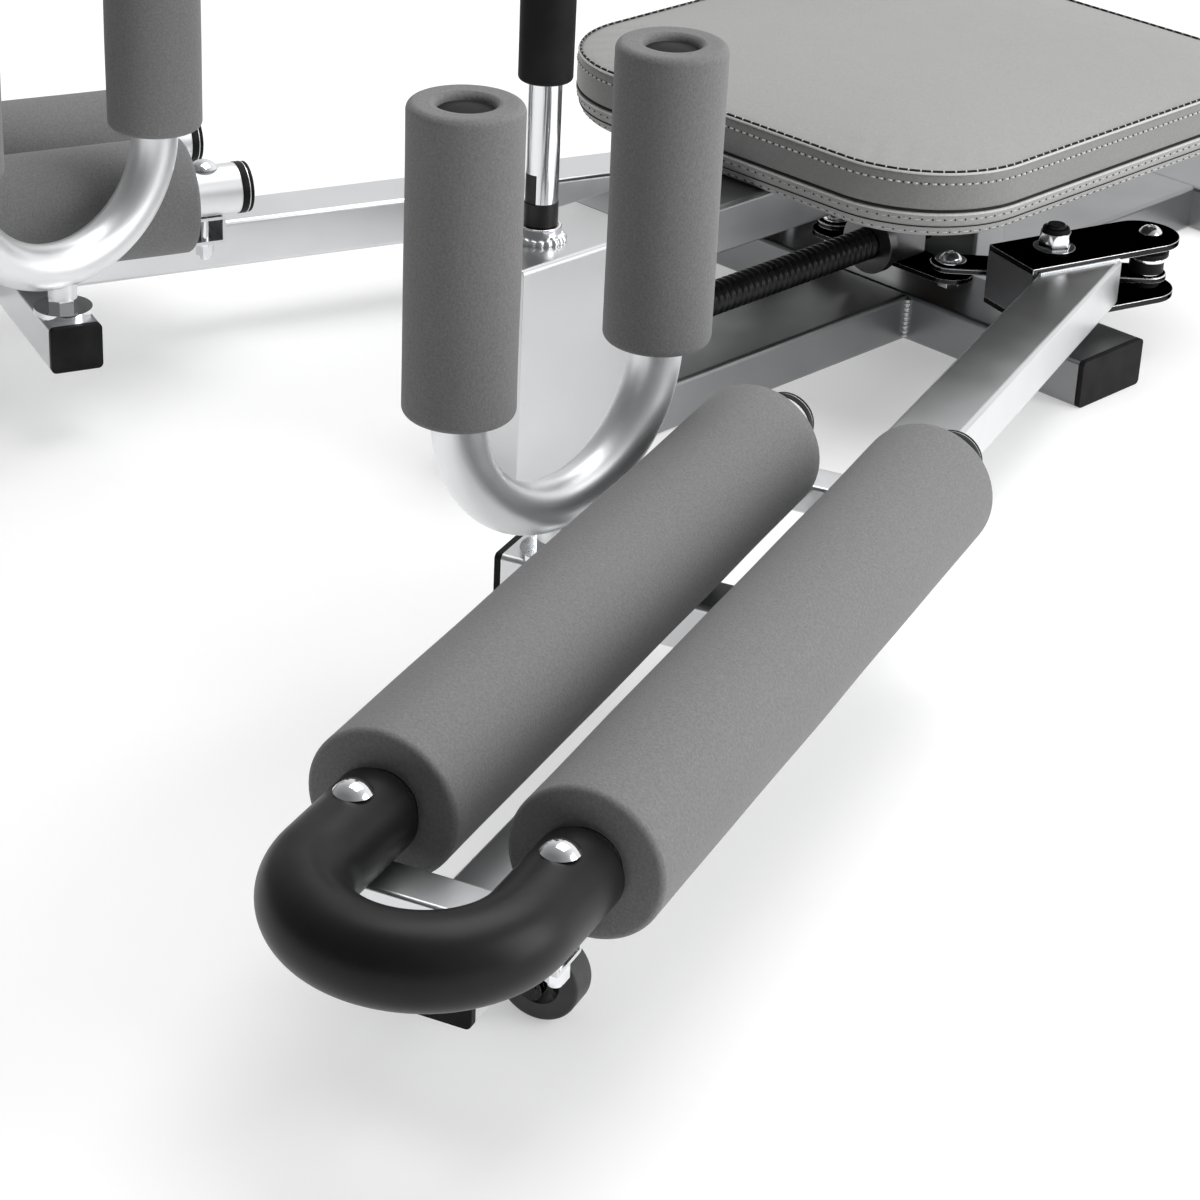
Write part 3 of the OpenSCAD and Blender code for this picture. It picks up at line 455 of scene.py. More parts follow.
# %% [markdown]
# ## Black plastics, rubber, foam, vinyl and wood
# The bend over the roller ends is satin black, the caps are moulded black
# with a fine spark texture, and the foam is closed-cell: fine pores on a
# mid-grey skin. Vinyl gets a pebble grain from cells a millimetre wide.
# %% Soft and black finishes
satin = finish("satin_black", 0.01, 0.34, Specular_IOR_Level=0.2)
polish(satin, noise(satin, 25, 4), 0.3, 0.44)
tint(satin, noise(satin, 30, 3), 0.008, 0.013)
bump(satin, noise(satin, 700, 2), 0.00006, 0.35)

moulded = finish("moulded_black", 0.012, 0.42, Specular_IOR_Level=0.07)
polish(moulded, noise(moulded, 60, 4), 0.34, 0.52)
tint(moulded, noise(moulded, 50, 3), 0.009, 0.017)
bump(moulded, noise(moulded, 1400, 2), 0.00008, 0.4)

rubber = finish("soft_rubber", 0.009, 0.6, Specular_IOR_Level=0.12)
polish(rubber, noise(rubber, 50, 4), 0.5, 0.7)
tint(rubber, noise(rubber, 35, 3), 0.008, 0.015)
bump(rubber, noise(rubber, 1100, 2), 0.0001, 0.5)

tyre = finish("wheel_rubber", (0.03, 0.03, 0.032), 0.5)
polish(tyre, noise(tyre, 50, 4), 0.42, 0.62)
tint(tyre, noise(tyre, 35, 3), (0.022, 0.022, 0.023), (0.045, 0.045, 0.047))

foam = finish("closed_cell_foam", 0.175, 0.85, Sheen_Weight=0.1, Sheen_Roughness=0.5)
tint(foam, noise(foam, 600, 4), 0.144, 0.194)
bump(foam, noise(foam, 900, 3), 0.0006, 0.5)
bump(foam, noise(foam, 90, 2), 0.0005, 0.2)


def vinyl_finish(name, low, high):
    """Vinyl between two greys, with a pebble grain and slow hollows."""
    m = finish(name, high, 0.5)
    polish(m, noise(m, 30, 4), 0.4, 0.54)
    tint(m, noise(m, 500, 3), (low, low, 0.98 * low), (high, high, 0.98 * high))
    bump(m, noise(m, 900, 2, kind="ShaderNodeTexVoronoi"), 0.00028, 0.4)
    bump(m, noise(m, 35, 2), 0.0008, 0.15)
    return m


vinyl = vinyl_finish("seat_vinyl", 0.29, 0.33)
# painted shade: the seat's vinyl made darker for the side band, whose faces look sideways
band_vinyl_painted_shade = vinyl_finish("band_vinyl_painted_shade", 0.2, 0.235)

wood = finish("stained_plywood", (0.022, 0.02, 0.018), 0.6)
tint(wood, noise(wood, 14, 4, (1, 10, 10)), (0.016, 0.014, 0.012), (0.03, 0.027, 0.024))
bump(wood, noise(wood, 90, 3, (1, 10, 10)), 0.0003, 0.4)
print("soft and black finishes done, materials so far:", len(bpy.data.materials))

# %% [markdown]
# ## Which node gets which finish
# The near and far arms carry the same pieces, so one list names a finish for
# a node's ending and both sides take it.
# %% Dress the nodes
FINISHES = [  # finish, the record's slot, endings of the nodes
    (silver, "frame_paint", "arm_tube stub channels"),
    (sheet, "frame_paint", "gear_housing"),
    # painted shade: the base parts take the darker copy of the frame's silver
    (base_painted_shade, "frame_paint", "rails cross_tube rear_foot seat_beam pillar"),
    # painted reflection: plates, links and fork take the near-black plated steel
    (plated_dark_reflection, "link_steel", "crosshead link arm_plates wheel_fork"),
    (chrome, "chrome", "pivot_nuts thrust_washers seat_bolts shaft_boss column_tube handlebar"
                       " crosshead_bolts arm_bolts"),
    (zinc, "chrome", "holder roller_tubes"),
    (blackened, "black_steel", "pivot_studs drive_shaft lead_screw"),
    # the screw nut's own dark steel, in the material that is also the bracket walls' painted shade
    (painted_shade_and_nut_steel, "black_steel", "screw_nut"),
    (gear_grey, "gear_steel", "drive_bevel screw_bevel"),
    (bronze, "bronze", "drive_bearings"),
    (moulded, "black_plastic", "frame_caps arm_caps holder_plugs"),
    (satin, "satin_black", "end_bend"),
    (rubber, "black_rubber", "column_sleeve handlebar_grips"),
    (tyre, "wheel_rubber", "wheel"),
    (foam, "grey_foam", "roller_foams upright_foams"),
    (vinyl, "vinyl", "seat_pad"),
    (wood, "plywood", "seat_board"),
]
MATERIAL, SLOT, BODY = {}, {}, {}
FINISH_SLOT = {material.name: slot_name for material, slot_name, _ in FINISHES}


def nodes_ending(word):
    """The nodes of this name, alone or with near_ or far_ before it."""
    return [node for node in (word, "near_" + word, "far_" + word) if node in NODES]


for material, slot_name, words in FINISHES:
    for node in sum(map(nodes_ending, words.split()), []):
        MATERIAL[node], SLOT[node] = material, slot_name
        NODES[node].data.materials.clear()
        NODES[node].data.materials.append(material)
        BODY[node] = NODES[node]["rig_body"]
print("nodes without a finish:", sorted(set(NODES) - set(MATERIAL)))

# %% [markdown]
# ## Softened edges on the hard pieces
# Plates, caps and nuts never have knife edges: cutting and plating round them,
# and the thin bright line on an edge is what makes metal look real. A copy of
# each node's mesh is merged, its flat triangles are joined, and a Bevel
# modifier rounds what is left. The copy stands for the node.
# %% Soften edges
SAME_POINT = 2e-6
FLAT, SHARP = math.radians(0.6), math.radians(35)


def softened(node, width, segments):
    """Copy of a node, edges sharper than SHARP rounded by `width`. On the
    plated nodes the rounding gets a bright metal, a painted highlight."""
    mesh = NODES[node].data.copy()
    if "custom_normal" in mesh.attributes:
        mesh.attributes.remove(mesh.attributes["custom_normal"])
    work = bmesh.new()
    work.from_mesh(mesh)
    bmesh.ops.remove_doubles(work, verts=work.verts, dist=SAME_POINT)
    bmesh.ops.dissolve_limit(work, angle_limit=FLAT, verts=work.verts, edges=work.edges)
    work.to_mesh(mesh)
    work.free()
    mesh.polygons.foreach_set("use_smooth", [True] * len(mesh.polygons))
    mesh.set_sharp_from_angle(angle=SHARP)
    piece = bpy.data.objects.new("edged_" + node, mesh)
    bpy.context.scene.collection.objects.link(piece)
    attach(piece, BODY[node])
    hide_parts(node)
    bevel = piece.modifiers.new("edges", "BEVEL")
    bevel.width, bevel.segments = width, segments
    bevel.limit_method, bevel.angle_limit = "ANGLE", SHARP
    bevel.harden_normals = True
    # painted highlight: the bevels of the plated pieces take the bright metal
    if MATERIAL[node] is plated_dark_reflection:
        mesh.materials.append(edge_highlight)
        bevel.material = 1


EDGES_MM = {  # ending of a node: width of its softened edges
    "arm_plates": 0.9, "link": 0.9, "crosshead": 0.8, "channels": 0.5, "frame_caps": 1.6,
    "arm_caps": 1.6, "seat_board": 1.0, "pivot_nuts": 0.5, "crosshead_bolts": 0.5,
    "arm_bolts": 0.5, "wheel_fork": 0.5, "screw_nut": 0.9, "drive_shaft": 0.5,
    "holder_plugs": 0.8, "end_bend": 1.2, "gear_housing": 1.2, "thrust_washers": 0.6,
    "handlebar": 0.8, "column_tube": 0.3, "shaft_boss": 1.2, "arm_tube": 0.4,
}
for word, mm in EDGES_MM.items():
    for node in nodes_ending(word):
        softened(node, mm / 1000, 3 if mm > 1 else 2)

# %% [markdown]
# ## Where an arm's own points are
# An arm is drawn in its own frame, x forward from the pivot and y outwards,
# which keeps its sizes easy to read. Three small functions turn such points
# into the machine's frame, and a fourth goes back from there to the plates.
# The far arm is the near arm's mirror image.
# %% Arm frames
ARMS = (("near", 1), ("far", -1))  # name and side of the centre plane
SPLAY, PLATE_TURN, HOLDER_TURN = (math.radians(a) for a in (19.6, 16, 18.6))
PIVOT_X = 0.152  # from the centre plane to the arm's pivot
ARM_FRONT = (1.116, 0.0265, 0.100)  # middle of the tube's front end, at its top
LEVER = 0.098  # from the pivot back to the lever bolt
SWIVEL = (0.6705, -0.1215)  # where the leg holder stands on the arm
ROLLER_LATS, ROLLER_Z = (-0.0335, 0.0865), 0.142  # the rollers' axes, y and z


def turned(points, angle):
    """(x, y, z) -> (x cos a - y sin a, x sin a + y cos a, z)."""
    p = np.asarray(points, float)
    c, s = math.cos(angle), math.sin(angle)
    return np.stack([p[..., 0] * c - p[..., 1] * s, p[..., 0] * s + p[..., 1] * c, p[..., 2]], -1)


def on_arm(points, side):
    """Turns by splay - 90 degrees, moves to the pivot, mirrors the far arm."""
    p = turned(points, SPLAY - math.pi / 2) + [PIVOT_X, 0, 0]
    return p * [side, 1, 1]


def on_knuckle(points, side):
    """The plates' frame: local x runs back along the plates."""
    return on_arm(turned(points, math.pi - SPLAY - PLATE_TURN), side)


def on_holder(points, side):
    """The leg holder's frame: local x joins its two legs."""
    return on_arm(turned(points, -HOLDER_TURN) + [*SWIVEL, 0], side)


def in_knuckle(points, side):
    """The way back: from the machine's frame into the plates' frame."""
    p = np.asarray(points, float) * [side, 1, 1] - [PIVOT_X, 0, 0]
    return turned(turned(p, math.pi / 2 - SPLAY), SPLAY + PLATE_TURN - math.pi)


print("near arm's front end:", on_arm(ARM_FRONT, 1).round(3))

# %% [markdown]
# ## The bracket between the lever plates
# The arm tube is welded to a box of flat walls between the two plates. The
# walls have the tube's silver paint; a darker copy of it is painted shade under
# the seat, so the faces of the copied mesh that lie inside the plates' width
# take the second material.
# %% Bracket walls
HALF_PLATE, BRACKET_REACH = 0.0301, 0.06  # the walls' limits, from the pivot
for arm, side in ARMS:
    mesh = bpy.data.objects[f"edged_{arm}_arm_tube"].data
    local = in_knuckle(face_centres(mesh), side)
    # painted shade: the faces of the bracket walls take the darkest silver
    mesh.materials.append(painted_shade_and_nut_steel)
    painted_shade_walls = (abs(local[:, 1]) < HALF_PLATE) & (abs(local[:, 0]) < BRACKET_REACH)
    mesh.polygons.foreach_set("material_index", painted_shade_walls.astype(np.int32))
    print(arm, "bracket faces:", int(painted_shade_walls.sum()))

# %% [markdown]
# ## Foam sleeves
# The rollers and the upright pads are extruded foam tubes pushed over steel.
# Their skin isn't perfectly round and the cut ends have soft shoulders. Each
# is a closed profile turned about its axis, with a wave of a fraction of a
# millimetre added to its radius.
# %% Foam tools
RING_STEP = 0.008  # between the rings of the long outer line
BORE_EDGE, BORE_START = 0.002, 0.004  # width and depth of the slope into the bore
FOAM_SIDES, WAVE = 72, 0.0001


def foam_profile(radius, bore, length, rim, dish=0.0015):
    """Closed loop of (distance along, radius): a long outer line, a quarter
    circle at each rim, a slightly dished end face and the bore."""
    t = np.linspace(0, math.pi / 2, 9)
    long_line = np.linspace(rim, length - rim, int(length / RING_STEP))
    face = np.linspace(radius - rim, bore + BORE_EDGE, 5)[1:]
    sunk = dish * np.sin(np.linspace(0.2, 1, 4) * math.pi / 2)
    outer = np.stack([long_line, np.full_like(long_line, radius)], 1)
    right_rim = np.stack([length - rim + rim * np.sin(t), radius - rim + rim * np.cos(t)], 1)[1:]
    right_face = np.stack([length - sunk, face], 1)
    bore_line = np.stack([np.linspace(length - BORE_START, BORE_START, 24), np.full(24, bore)], 1)
    left_face = np.stack([sunk, face], 1)[::-1]
    left_rim = np.stack([rim - rim * np.sin(t), radius - rim + rim * np.cos(t)], 1)[:0:-1]
    return np.vstack([outer, right_rim, right_face, bore_line, left_face, left_rim])


def foam_sleeve(name, profile, seed, to_frame, node, material=foam):
    """Turns the profile about local x: y = r cos t, z = r sin t, with
    r = radius + WAVE x (sum of three slow waves) on the outer skin."""
    t = np.linspace(0, TAU, FOAM_SIDES, endpoint=False)[:, None]
    phase = np.random.default_rng(seed).uniform(0, TAU, 3)
    along, r = profile[:, 0][None, :], profile[:, 1][None, :]
    wave = (np.sin(2 * t + along * 19 + phase[0]) + np.sin(3 * t - along * 31 + phase[1])
            + np.sin(along * 47 + phase[2]))
    r = r + WAVE * wave * (r > 0.75 * profile[:, 1].max())
    local = np.stack([along + 0 * r, r * np.cos(t), r * np.sin(t)], -1)
    faces = quads(FOAM_SIDES, len(profile), close_rows=True, close_cols=True)
    piece = add_mesh(name, to_frame(local), faces, BODY[node], material, SLOT[node])
    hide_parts(node)


def standing(p, x, y, foot):
    """Stands local x upright: (a, b, c) -> (b + x, c + y, a + foot)."""
    return np.stack([p[..., 1] + x, p[..., 2] + y, p[..., 0] + foot], -1)


ROLLER_START = 0.545  # from the pivot to the near end of the foam
ROLLER_PROFILE = foam_profile(radius=0.0455, bore=0.0203, length=0.520, rim=0.0038)
print("points of a roller's profile:", len(ROLLER_PROFILE))

# %% [markdown]
# ### Sleeves in their places
# Two rollers and two upright pads belong to each arm. The upright pads end a
# little above their plugs. The column and the bar have thin rubber sleeves.
# %% Place the sleeves
LEG, UPRIGHT_FOOT, ABOVE_PLUG = 0.089, 0.2225, 0.0025
COLUMN_Y, SLEEVE_FOOT, GRIP_START, GRIP_Z = -0.433, 0.297, 0.050, 0.575
UPRIGHT_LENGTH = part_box("near_holder_plugs")[1][2] + ABOVE_PLUG - UPRIGHT_FOOT
UPRIGHT_PROFILE = foam_profile(0.0355, 0.0180, UPRIGHT_LENGTH, rim=0.0052, dish=0.0004)
SLEEVE_PROFILE = foam_profile(0.020, 0.0126, length=0.150, rim=0.003, dish=0.0006)
GRIP_PROFILE = foam_profile(0.017, 0.0111, length=0.110, rim=0.005, dish=0.0004)

for k, (arm, side) in enumerate(ARMS):
    for n, (lat, leg) in enumerate(zip(ROLLER_LATS, (-LEG, LEG))):
        foam_sleeve(f"{arm}_roller_sleeve_{n}", ROLLER_PROFILE, 10 * k + n,
                    lambda p, y=lat, s=side: on_arm(p + [ROLLER_START, y, ROLLER_Z], s),
                    arm + "_roller_foams")
        foam_sleeve(f"{arm}_upright_sleeve_{n}", UPRIGHT_PROFILE, 10 * k + n + 4,
                    lambda p, x=leg, s=side: on_holder(standing(p, x, 0, UPRIGHT_FOOT), s),
                    arm + "_upright_foams")
foam_sleeve("column_grip_sleeve", SLEEVE_PROFILE, 31,
            lambda p: standing(p, 0, COLUMN_Y, SLEEVE_FOOT), "column_sleeve", rubber)
for n, side in enumerate((1, -1)):
    foam_sleeve(f"bar_grip_{n}", GRIP_PROFILE, 41 + n,
                lambda p, s=side: (p + [GRIP_START, COLUMN_Y, GRIP_Z]) * [s, 1, 1],
                "handlebar_grips", rubber)

# %% [markdown]
# ## Small turned pieces
# Caps, collars, bushes and washers are all a profile turned about an axis, so
# one function makes them. They stand up to about a millimetre proud of the
# solid that they cover, and they give it the second colour of the real piece:
# black caps in the roller tubes, a black nylon ring in each pivot nut, and
# black bushes between the lever plates.
# %% Turned pieces
def lathe(name, profile, to_frame, node, material, cols=48):
    """Turns (height, radius) points about local z: x = r cos t, y = r sin t.
    The profile is a closed loop, or it ends near the axis and gets a lid."""
    profile = np.asarray(profile, float)
    t = np.linspace(0, TAU, cols, endpoint=False)
    z, r = profile[:, 0][:, None] + 0 * t, profile[:, 1][:, None]
    points = np.stack([r * np.cos(t), r * np.sin(t), z], -1)
    loop = min(profile[0, 1], profile[-1, 1]) > 0.001
    faces = quads(len(profile), cols, close_rows=loop, close_cols=True).tolist()
    if not loop:
        faces += [list(range(cols)), list(range((len(profile) - 1) * cols, len(profile) * cols))]
    piece = add_mesh(name, to_frame(points), faces, BODY[node], material, FINISH_SLOT[material.name])
    piece.data.set_sharp_from_angle(angle=math.radians(40))


def rounded(low, high, inner, outer, rim=0.0006):
    """Loop of a ring from `low` to `high` whose outer edges are rounded."""
    t = np.linspace(0, math.pi / 2, 4)
    top = np.stack([high - rim + rim * np.sin(t), outer - rim + rim * np.cos(t)], 1)
    bottom = np.stack([low + rim - rim * np.cos(t), outer - rim + rim * np.sin(t)], 1)
    return np.vstack([[[low, inner]], bottom, top, [[high, inner]]])


ROLLER_REAR = 0.496  # from the pivot to the rear ends of the roller tubes
NYLON_RING = rounded(low=0.1206, high=0.1245, inner=0.0082, outer=0.0109, rim=0.0008)
CAP = [  # distance along the roller, radius: from inside the tube to the domed face
    (0.0065, 0.0001), (0.0065, 0.0204), (0.0012, 0.0204), (0.0003, 0.0198), (-0.0003, 0.018),
    (-0.001, 0.012), (-0.0012, 0.0001),
]
BUSH_BORE = 0.012
BUSHES = (  # ending, bottom, top, outer radius, finish
    ("_bush", 0.0722, 0.0995, 0.0143, moulded),
    ("_bush_flange", 0.0862, 0.0905, 0.0172, moulded),
    ("_bush_washer", 0.0825, 0.0858, 0.0160, chrome),
)
for arm, side in ARMS:
    for n, lat in enumerate(ROLLER_LATS):
        lathe(f"{arm}_roller_cap_{n}", CAP,
              lambda p, y=lat, s=side: on_arm(
                  np.stack([p[..., 2] + ROLLER_REAR, p[..., 0] + y, p[..., 1] + ROLLER_Z], -1), s),
              arm + "_arm_caps", moulded, 64)
    lathe(arm + "_nylon_ring", NYLON_RING, lambda p, s=side: p + [s * PIVOT_X, 0, 0],
          "pivot_nuts", moulded)
    for ending, low, high, outer, material in BUSHES:
        lathe(arm + ending, rounded(low, high, BUSH_BORE, outer),
              lambda p, s=side: on_knuckle(p + [LEVER, 0, 0], s), arm + "_arm_bolts", material)

# %% [markdown]
# ## Screw heads with a crossed slot
# The round heads on the links and levers have a crossed slot. The copied head
# is pressed flat to its foot, and a new dome stands there: a height field over
# rings and spokes, so the slot is only a term that is taken off the height.
# %% Crossed heads
SPOKES, HEAD_GAP = 96, 0.0004
CROSS_HALF, CROSS_REACH, CROSS_DEPTH = 0.0011, 0.0036, 0.0022
LINK_BOLT = (0.062, -0.016)  # the near link's bolt on the crosshead


def pressed_flat(node, centre, radius, foot):
    """Lowers what stands above `foot` round a centre of a copied node."""
    copy = bpy.data.objects["edged_" + node].data
    co = coordinates(copy)
    near = np.hypot(co[:, 0] - centre[0], co[:, 1] - centre[1]) < radius + HEAD_GAP
    co[near & (co[:, 2] > foot), 2] = foot
    set_coordinates(copy, co)


def crossed_head(name, centre, radius, height, foot, node):
    """Height = cap of a sphere - CROSS_DEPTH x cross(x, y), on rings and spokes.
    An arm of the cross has sloped walls that end at CROSS_HALF and CROSS_REACH."""
    pressed_flat(node, centre, radius, foot)
    r = np.r_[np.linspace(0.00005, 0.0046, 26), np.linspace(0.005, radius, 12)][:, None]
    t = np.linspace(0, TAU, SPOKES, endpoint=False)
    x, y = r * np.cos(t), r * np.sin(t)
    ball = (radius ** 2 + height ** 2) / (2 * height)
    cross = [np.clip((CROSS_HALF - abs(a)) / 0.0003, 0, 1) * np.clip((CROSS_REACH - abs(b)) / 0.0004, 0, 1)
             for a, b in ((x, y), (y, x))]
    z = foot + np.sqrt(ball ** 2 - r ** 2) - (ball - height) - CROSS_DEPTH * np.maximum(*cross)
    z[-1] = foot - 0.0002
    points = np.stack([x + centre[0], y + centre[1], z], -1)
    add_mesh(name, points, tube_faces(len(r), SPOKES), BODY[node], chrome, SLOT[node])


for arm, side in ARMS:
    crossed_head(arm + "_link_screw_head", (side * LINK_BOLT[0], LINK_BOLT[1]),
                 radius=0.0095, height=0.0065, foot=0.0733, node="crosshead_bolts")
    crossed_head(arm + "_lever_screw_head", on_knuckle([LEVER, 0, 0], side),
                 radius=0.010, height=0.006, foot=0.105, node=arm + "_arm_bolts")

# %% [markdown]
# ## Weld beads
# Where tubes meet, the photograph shows the small scales of a weld. A bead is
# a round section carried along the corner, and its radius swells and shrinks
# with every scale.
# %% Weld beads
BEAD_SIDES = 10
CORNER_X, CORNER_Y = 0.0405, 0.0405  # where the rails meet the cross tube
CORNER_FOOT, CORNER_TOP = 0.003, 0.038
LEVER_EDGE = [(-0.037, -0.0308, 0.1008), (0.044, -0.0308, 0.1008)]
BOSS_R, BOSS_FOOT = 0.0165, 0.1765


def weld_bead(name, path, node, r, scale=0.0024, ring=False):
    """Section radius = r x (0.84 + 0.32 |sin(pi s / scale)|) at the distance s,
    less at an open end. A ring's radius also wanders slowly round it."""
    path = np.asarray(path, float)
    s = np.r_[0, np.cumsum(np.linalg.norm(np.diff(path, axis=0), axis=1))]
    size = r * (0.84 + 0.32 * abs(np.sin(math.pi * s / scale)))
    if ring:
        size *= 1 + 0.18 * np.sin(TAU * 3 * s / s[-1] + 1)
    else:
        size *= np.clip(np.minimum(s, s[::-1]) / 0.002 + 0.3, 0, 1)
    steep = abs(path[-1, 2] - path[0, 2]) > 0.5 * s[-1]
    section = sweep(path, disc(1, BEAD_SIDES), (1, 0, 0) if steep else (0, 0, 1), ring) - path[:, None]
    points = path[:, None] + section * size[:, None, None]
    add_mesh(name, points, tube_faces(len(s), BEAD_SIDES, ring), BODY[node], silver,
             FINISH_SLOT[silver.name])


for n, (x, y) in enumerate(((1, -1), (-1, -1), (1, 1), (-1, 1))):
    ends = [(x * CORNER_X, y * CORNER_Y, z) for z in (CORNER_FOOT, CORNER_TOP)]
    weld_bead(f"rail_bead_{n}", np.linspace(*ends, 54), "rails", r=0.0034, scale=0.004)
for arm, side in ARMS:
    edge = on_knuckle(np.linspace(*LEVER_EDGE, 200), side)
    weld_bead(arm + "_lever_bead", edge, arm + "_arm_tube", r=0.0016)
boss_ring = np.c_[disc(BOSS_R, 200) + (0, COLUMN_Y), np.full(200, BOSS_FOOT)]
weld_bead("boss_bead", boss_ring, "shaft_boss", r=0.0034, scale=0.0052, ring=True)

# %% [markdown]
# ## The seat pad
# A seat like this is a board, a block of firm foam and a vinyl cover sewn
# from a top panel, a side band and a lower band that is pulled under. The
# panels swell between their seams. So the cover is a grid that follows the
# rounded outline, its seams are pinned, and cloth simulation with air
# pressure inside swells the rest by a few millimetres.
# %% Seat outline
HALF_W, HALF_L, CORNER, SEAT_Y = 0.215, 0.230, 0.095, -0.008  # CORNER is a radius
BOARD_BOTTOM, LOW_SEAM, TOP_SEAM = 0.175, 0.198, 0.228
RING = 256  # points round the outline, eight times the patch's half width
LAST_LEVEL = 0.965  # the square of cells just inside the ring


def outline(inset, count=RING):
    """`count` points evenly spaced round a rectangle with round corners."""
    c = CORNER - inset
    a, b = HALF_W - inset - c, HALF_L - inset - c
    t = np.linspace(0, math.pi / 2, 40)
    arc = np.stack([np.cos(t), np.sin(t)], 1) * c
    corners = [(a, b, 0), (-a, b, 1), (-a, -b, 2), (a, -b, 3)]
    loop = [turned(np.c_[arc, np.zeros(40)], q * math.pi / 2)[:, :2] + (x, y) for x, y, q in corners]
    loop = np.vstack([*loop, loop[0][:1]])
    length = np.r_[0, np.cumsum(np.linalg.norm(np.diff(loop, axis=0), axis=1))]
    at = np.linspace(0, length[-1], count, endpoint=False)
    return np.stack([np.interp(at, length, loop[:, k]) for k in (0, 1)], 1) + [0, SEAT_Y]


def patch(ring, heights):
    """Fills a ring with a square grid. The square of cells at distance m from
    the middle becomes the ring shrunk by level m, so the cells stay even. The
    ring's points are counted round that square, from the middle of one side."""
    n = RING // 8
    level = np.r_[np.linspace(0, LAST_LEVEL, n), 1.0]
    u, v = np.meshgrid(np.arange(-n, n + 1), np.arange(-n, n + 1), indexing="ij")
    m = np.maximum(abs(u), abs(v))
    safe = np.maximum(m, 1)
    x, y = u / safe * n, v / safe * n
    step = np.where(x >= n, y + n, np.where(y >= n, 3 * n - x, np.where(x <= -n, 5 * n - y, 7 * n + x)))
    at = (step - n + RING) % RING
    whole = np.floor(at).astype(int)
    part = (at - whole)[..., None]
    edge = ring[whole % RING] * (1 - part) + ring[(whole + 1) % RING] * part
    centre = ring.mean(0)
    plan = centre + (edge - centre) * level[m][..., None]
    z = np.interp(level[m], *heights)
    return np.concatenate([plan[..., :2], z[..., None]], -1)


print("seat outline length:", round(float(np.linalg.norm(np.diff(outline(0), axis=0), axis=1).sum()), 3))

# %% [markdown]
# ### Cover mesh
# The side is a stack of rings: under the edge, up the lower band with its
# crease, the lower seam, the side band and the upper seam. Two patches close
# the top and the hollow that holds the board.
# %% Cover mesh
CROWN, LIP, LIP_WIDTH, LEVELS = 0.008, 0.0022, 0.03, 200
SIDE_RINGS = np.array([  # inset, height above the beam, both in millimetres
    (15.7, 12.3), (15.7, 6), (15.7, 0.3), (12, 0.1), (9.2, 0.6), (6.4, 3), (4.2, 6.5), (2.9, 9.4),
    (3.1, 10.6), (1.9, 12), (0.9, 16), (0.3, 20), (0.5, 21.8), (2.1, 23), (0.4, 24.2), (0, 26),
    (0, 31), (0.1, 37), (0.3, 43), (0.6, 48), (1.1, 51.4), (2.8, 53),
]) / 1000


def cover_mesh():
    """Rings of the side, a top patch with height = lip + crown x (1 - level^2.6),
    and a flat patch over the board."""
    side = np.array([np.c_[outline(i), np.full(RING, BOARD_BOTTOM + z)] for i, z in SIDE_RINGS])
    level = np.linspace(0, 1, LEVELS)
    lip = LIP * np.clip((1 - level) / LIP_WIDTH, 0, 1)
    top = patch(side[-1], (level, TOP_SEAM + lip + CROWN * (1 - level ** 2.6)))
    under = patch(side[0], (level, np.full(LEVELS, side[0][0, 2])))
    parts = [(side, True), (top, False), (under, False)]
    start = np.cumsum([0] + [part[..., 0].size for part, _ in parts])
    faces = [quads(*part.shape[:2], close_cols=loop) + s for (part, loop), s in zip(parts, start)]
    return np.vstack([part.reshape(-1, 3) for part, _ in parts]), np.vstack(faces)


cover = add_mesh("seat_cover", *cover_mesh(), None, vinyl, None, merge=1e-6)
print("cover:", len(cover.data.vertices), "points")

# %% [markdown]
# ### Swell the panels
# Pressure pushes the loose panels out while the seams and everything under
# the lower seam stay pinned. The move is capped softly, because firm foam
# doesn't balloon: moved = cap x tanh(distance / cap). The side band gets a
# darker copy of the top's vinyl, painted shade on faces that look sideways.
# %% Swell the panels
CLOTH = {
    "quality": 6, "mass": 0.4, "vertex_group_mass": "pinned", "tension_stiffness": 25,
    "compression_stiffness": 25, "shear_stiffness": 15, "bending_stiffness": 4,
    "use_pressure": True, "uniform_pressure_force": 4,
}
CLOTH_FRAMES, SWELL_CAP = 20, 0.0045


def swell(piece, pins, cap):
    """Runs cloth with air pressure, then moves the points by the capped result."""
    group = piece.vertex_groups.new(name="pinned")
    group.add([int(i) for i in np.flatnonzero(pins)], 1.0, "REPLACE")
    rest = coordinates(piece.data)
    cloth = piece.modifiers.new("cloth", "CLOTH")
    for setting, value in CLOTH.items():
        setattr(cloth.settings, setting, value)
    cloth.settings.effector_weights.gravity = 0
    scene = bpy.context.scene
    for f in range(1, CLOTH_FRAMES + 1):
        scene.frame_set(f)
    swollen = piece.evaluated_get(bpy.context.evaluated_depsgraph_get()).data
    move = coordinates(swollen) - rest
    piece.modifiers.remove(cloth)
    scene.frame_set(1)
    far = np.linalg.norm(move, axis=1, keepdims=True)
    move *= cap * np.tanh(far / cap) / np.maximum(far, 1e-9)
    set_coordinates(piece.data, rest + move)
    return float(np.abs(move).max())


height = coordinates(cover.data)[:, 2]
pins = (height <= LOW_SEAM + 0.001) | (abs(height - TOP_SEAM) < 0.0004)
print("panels moved by up to", round(1000 * swell(cover, pins, SWELL_CAP), 2), "mm")
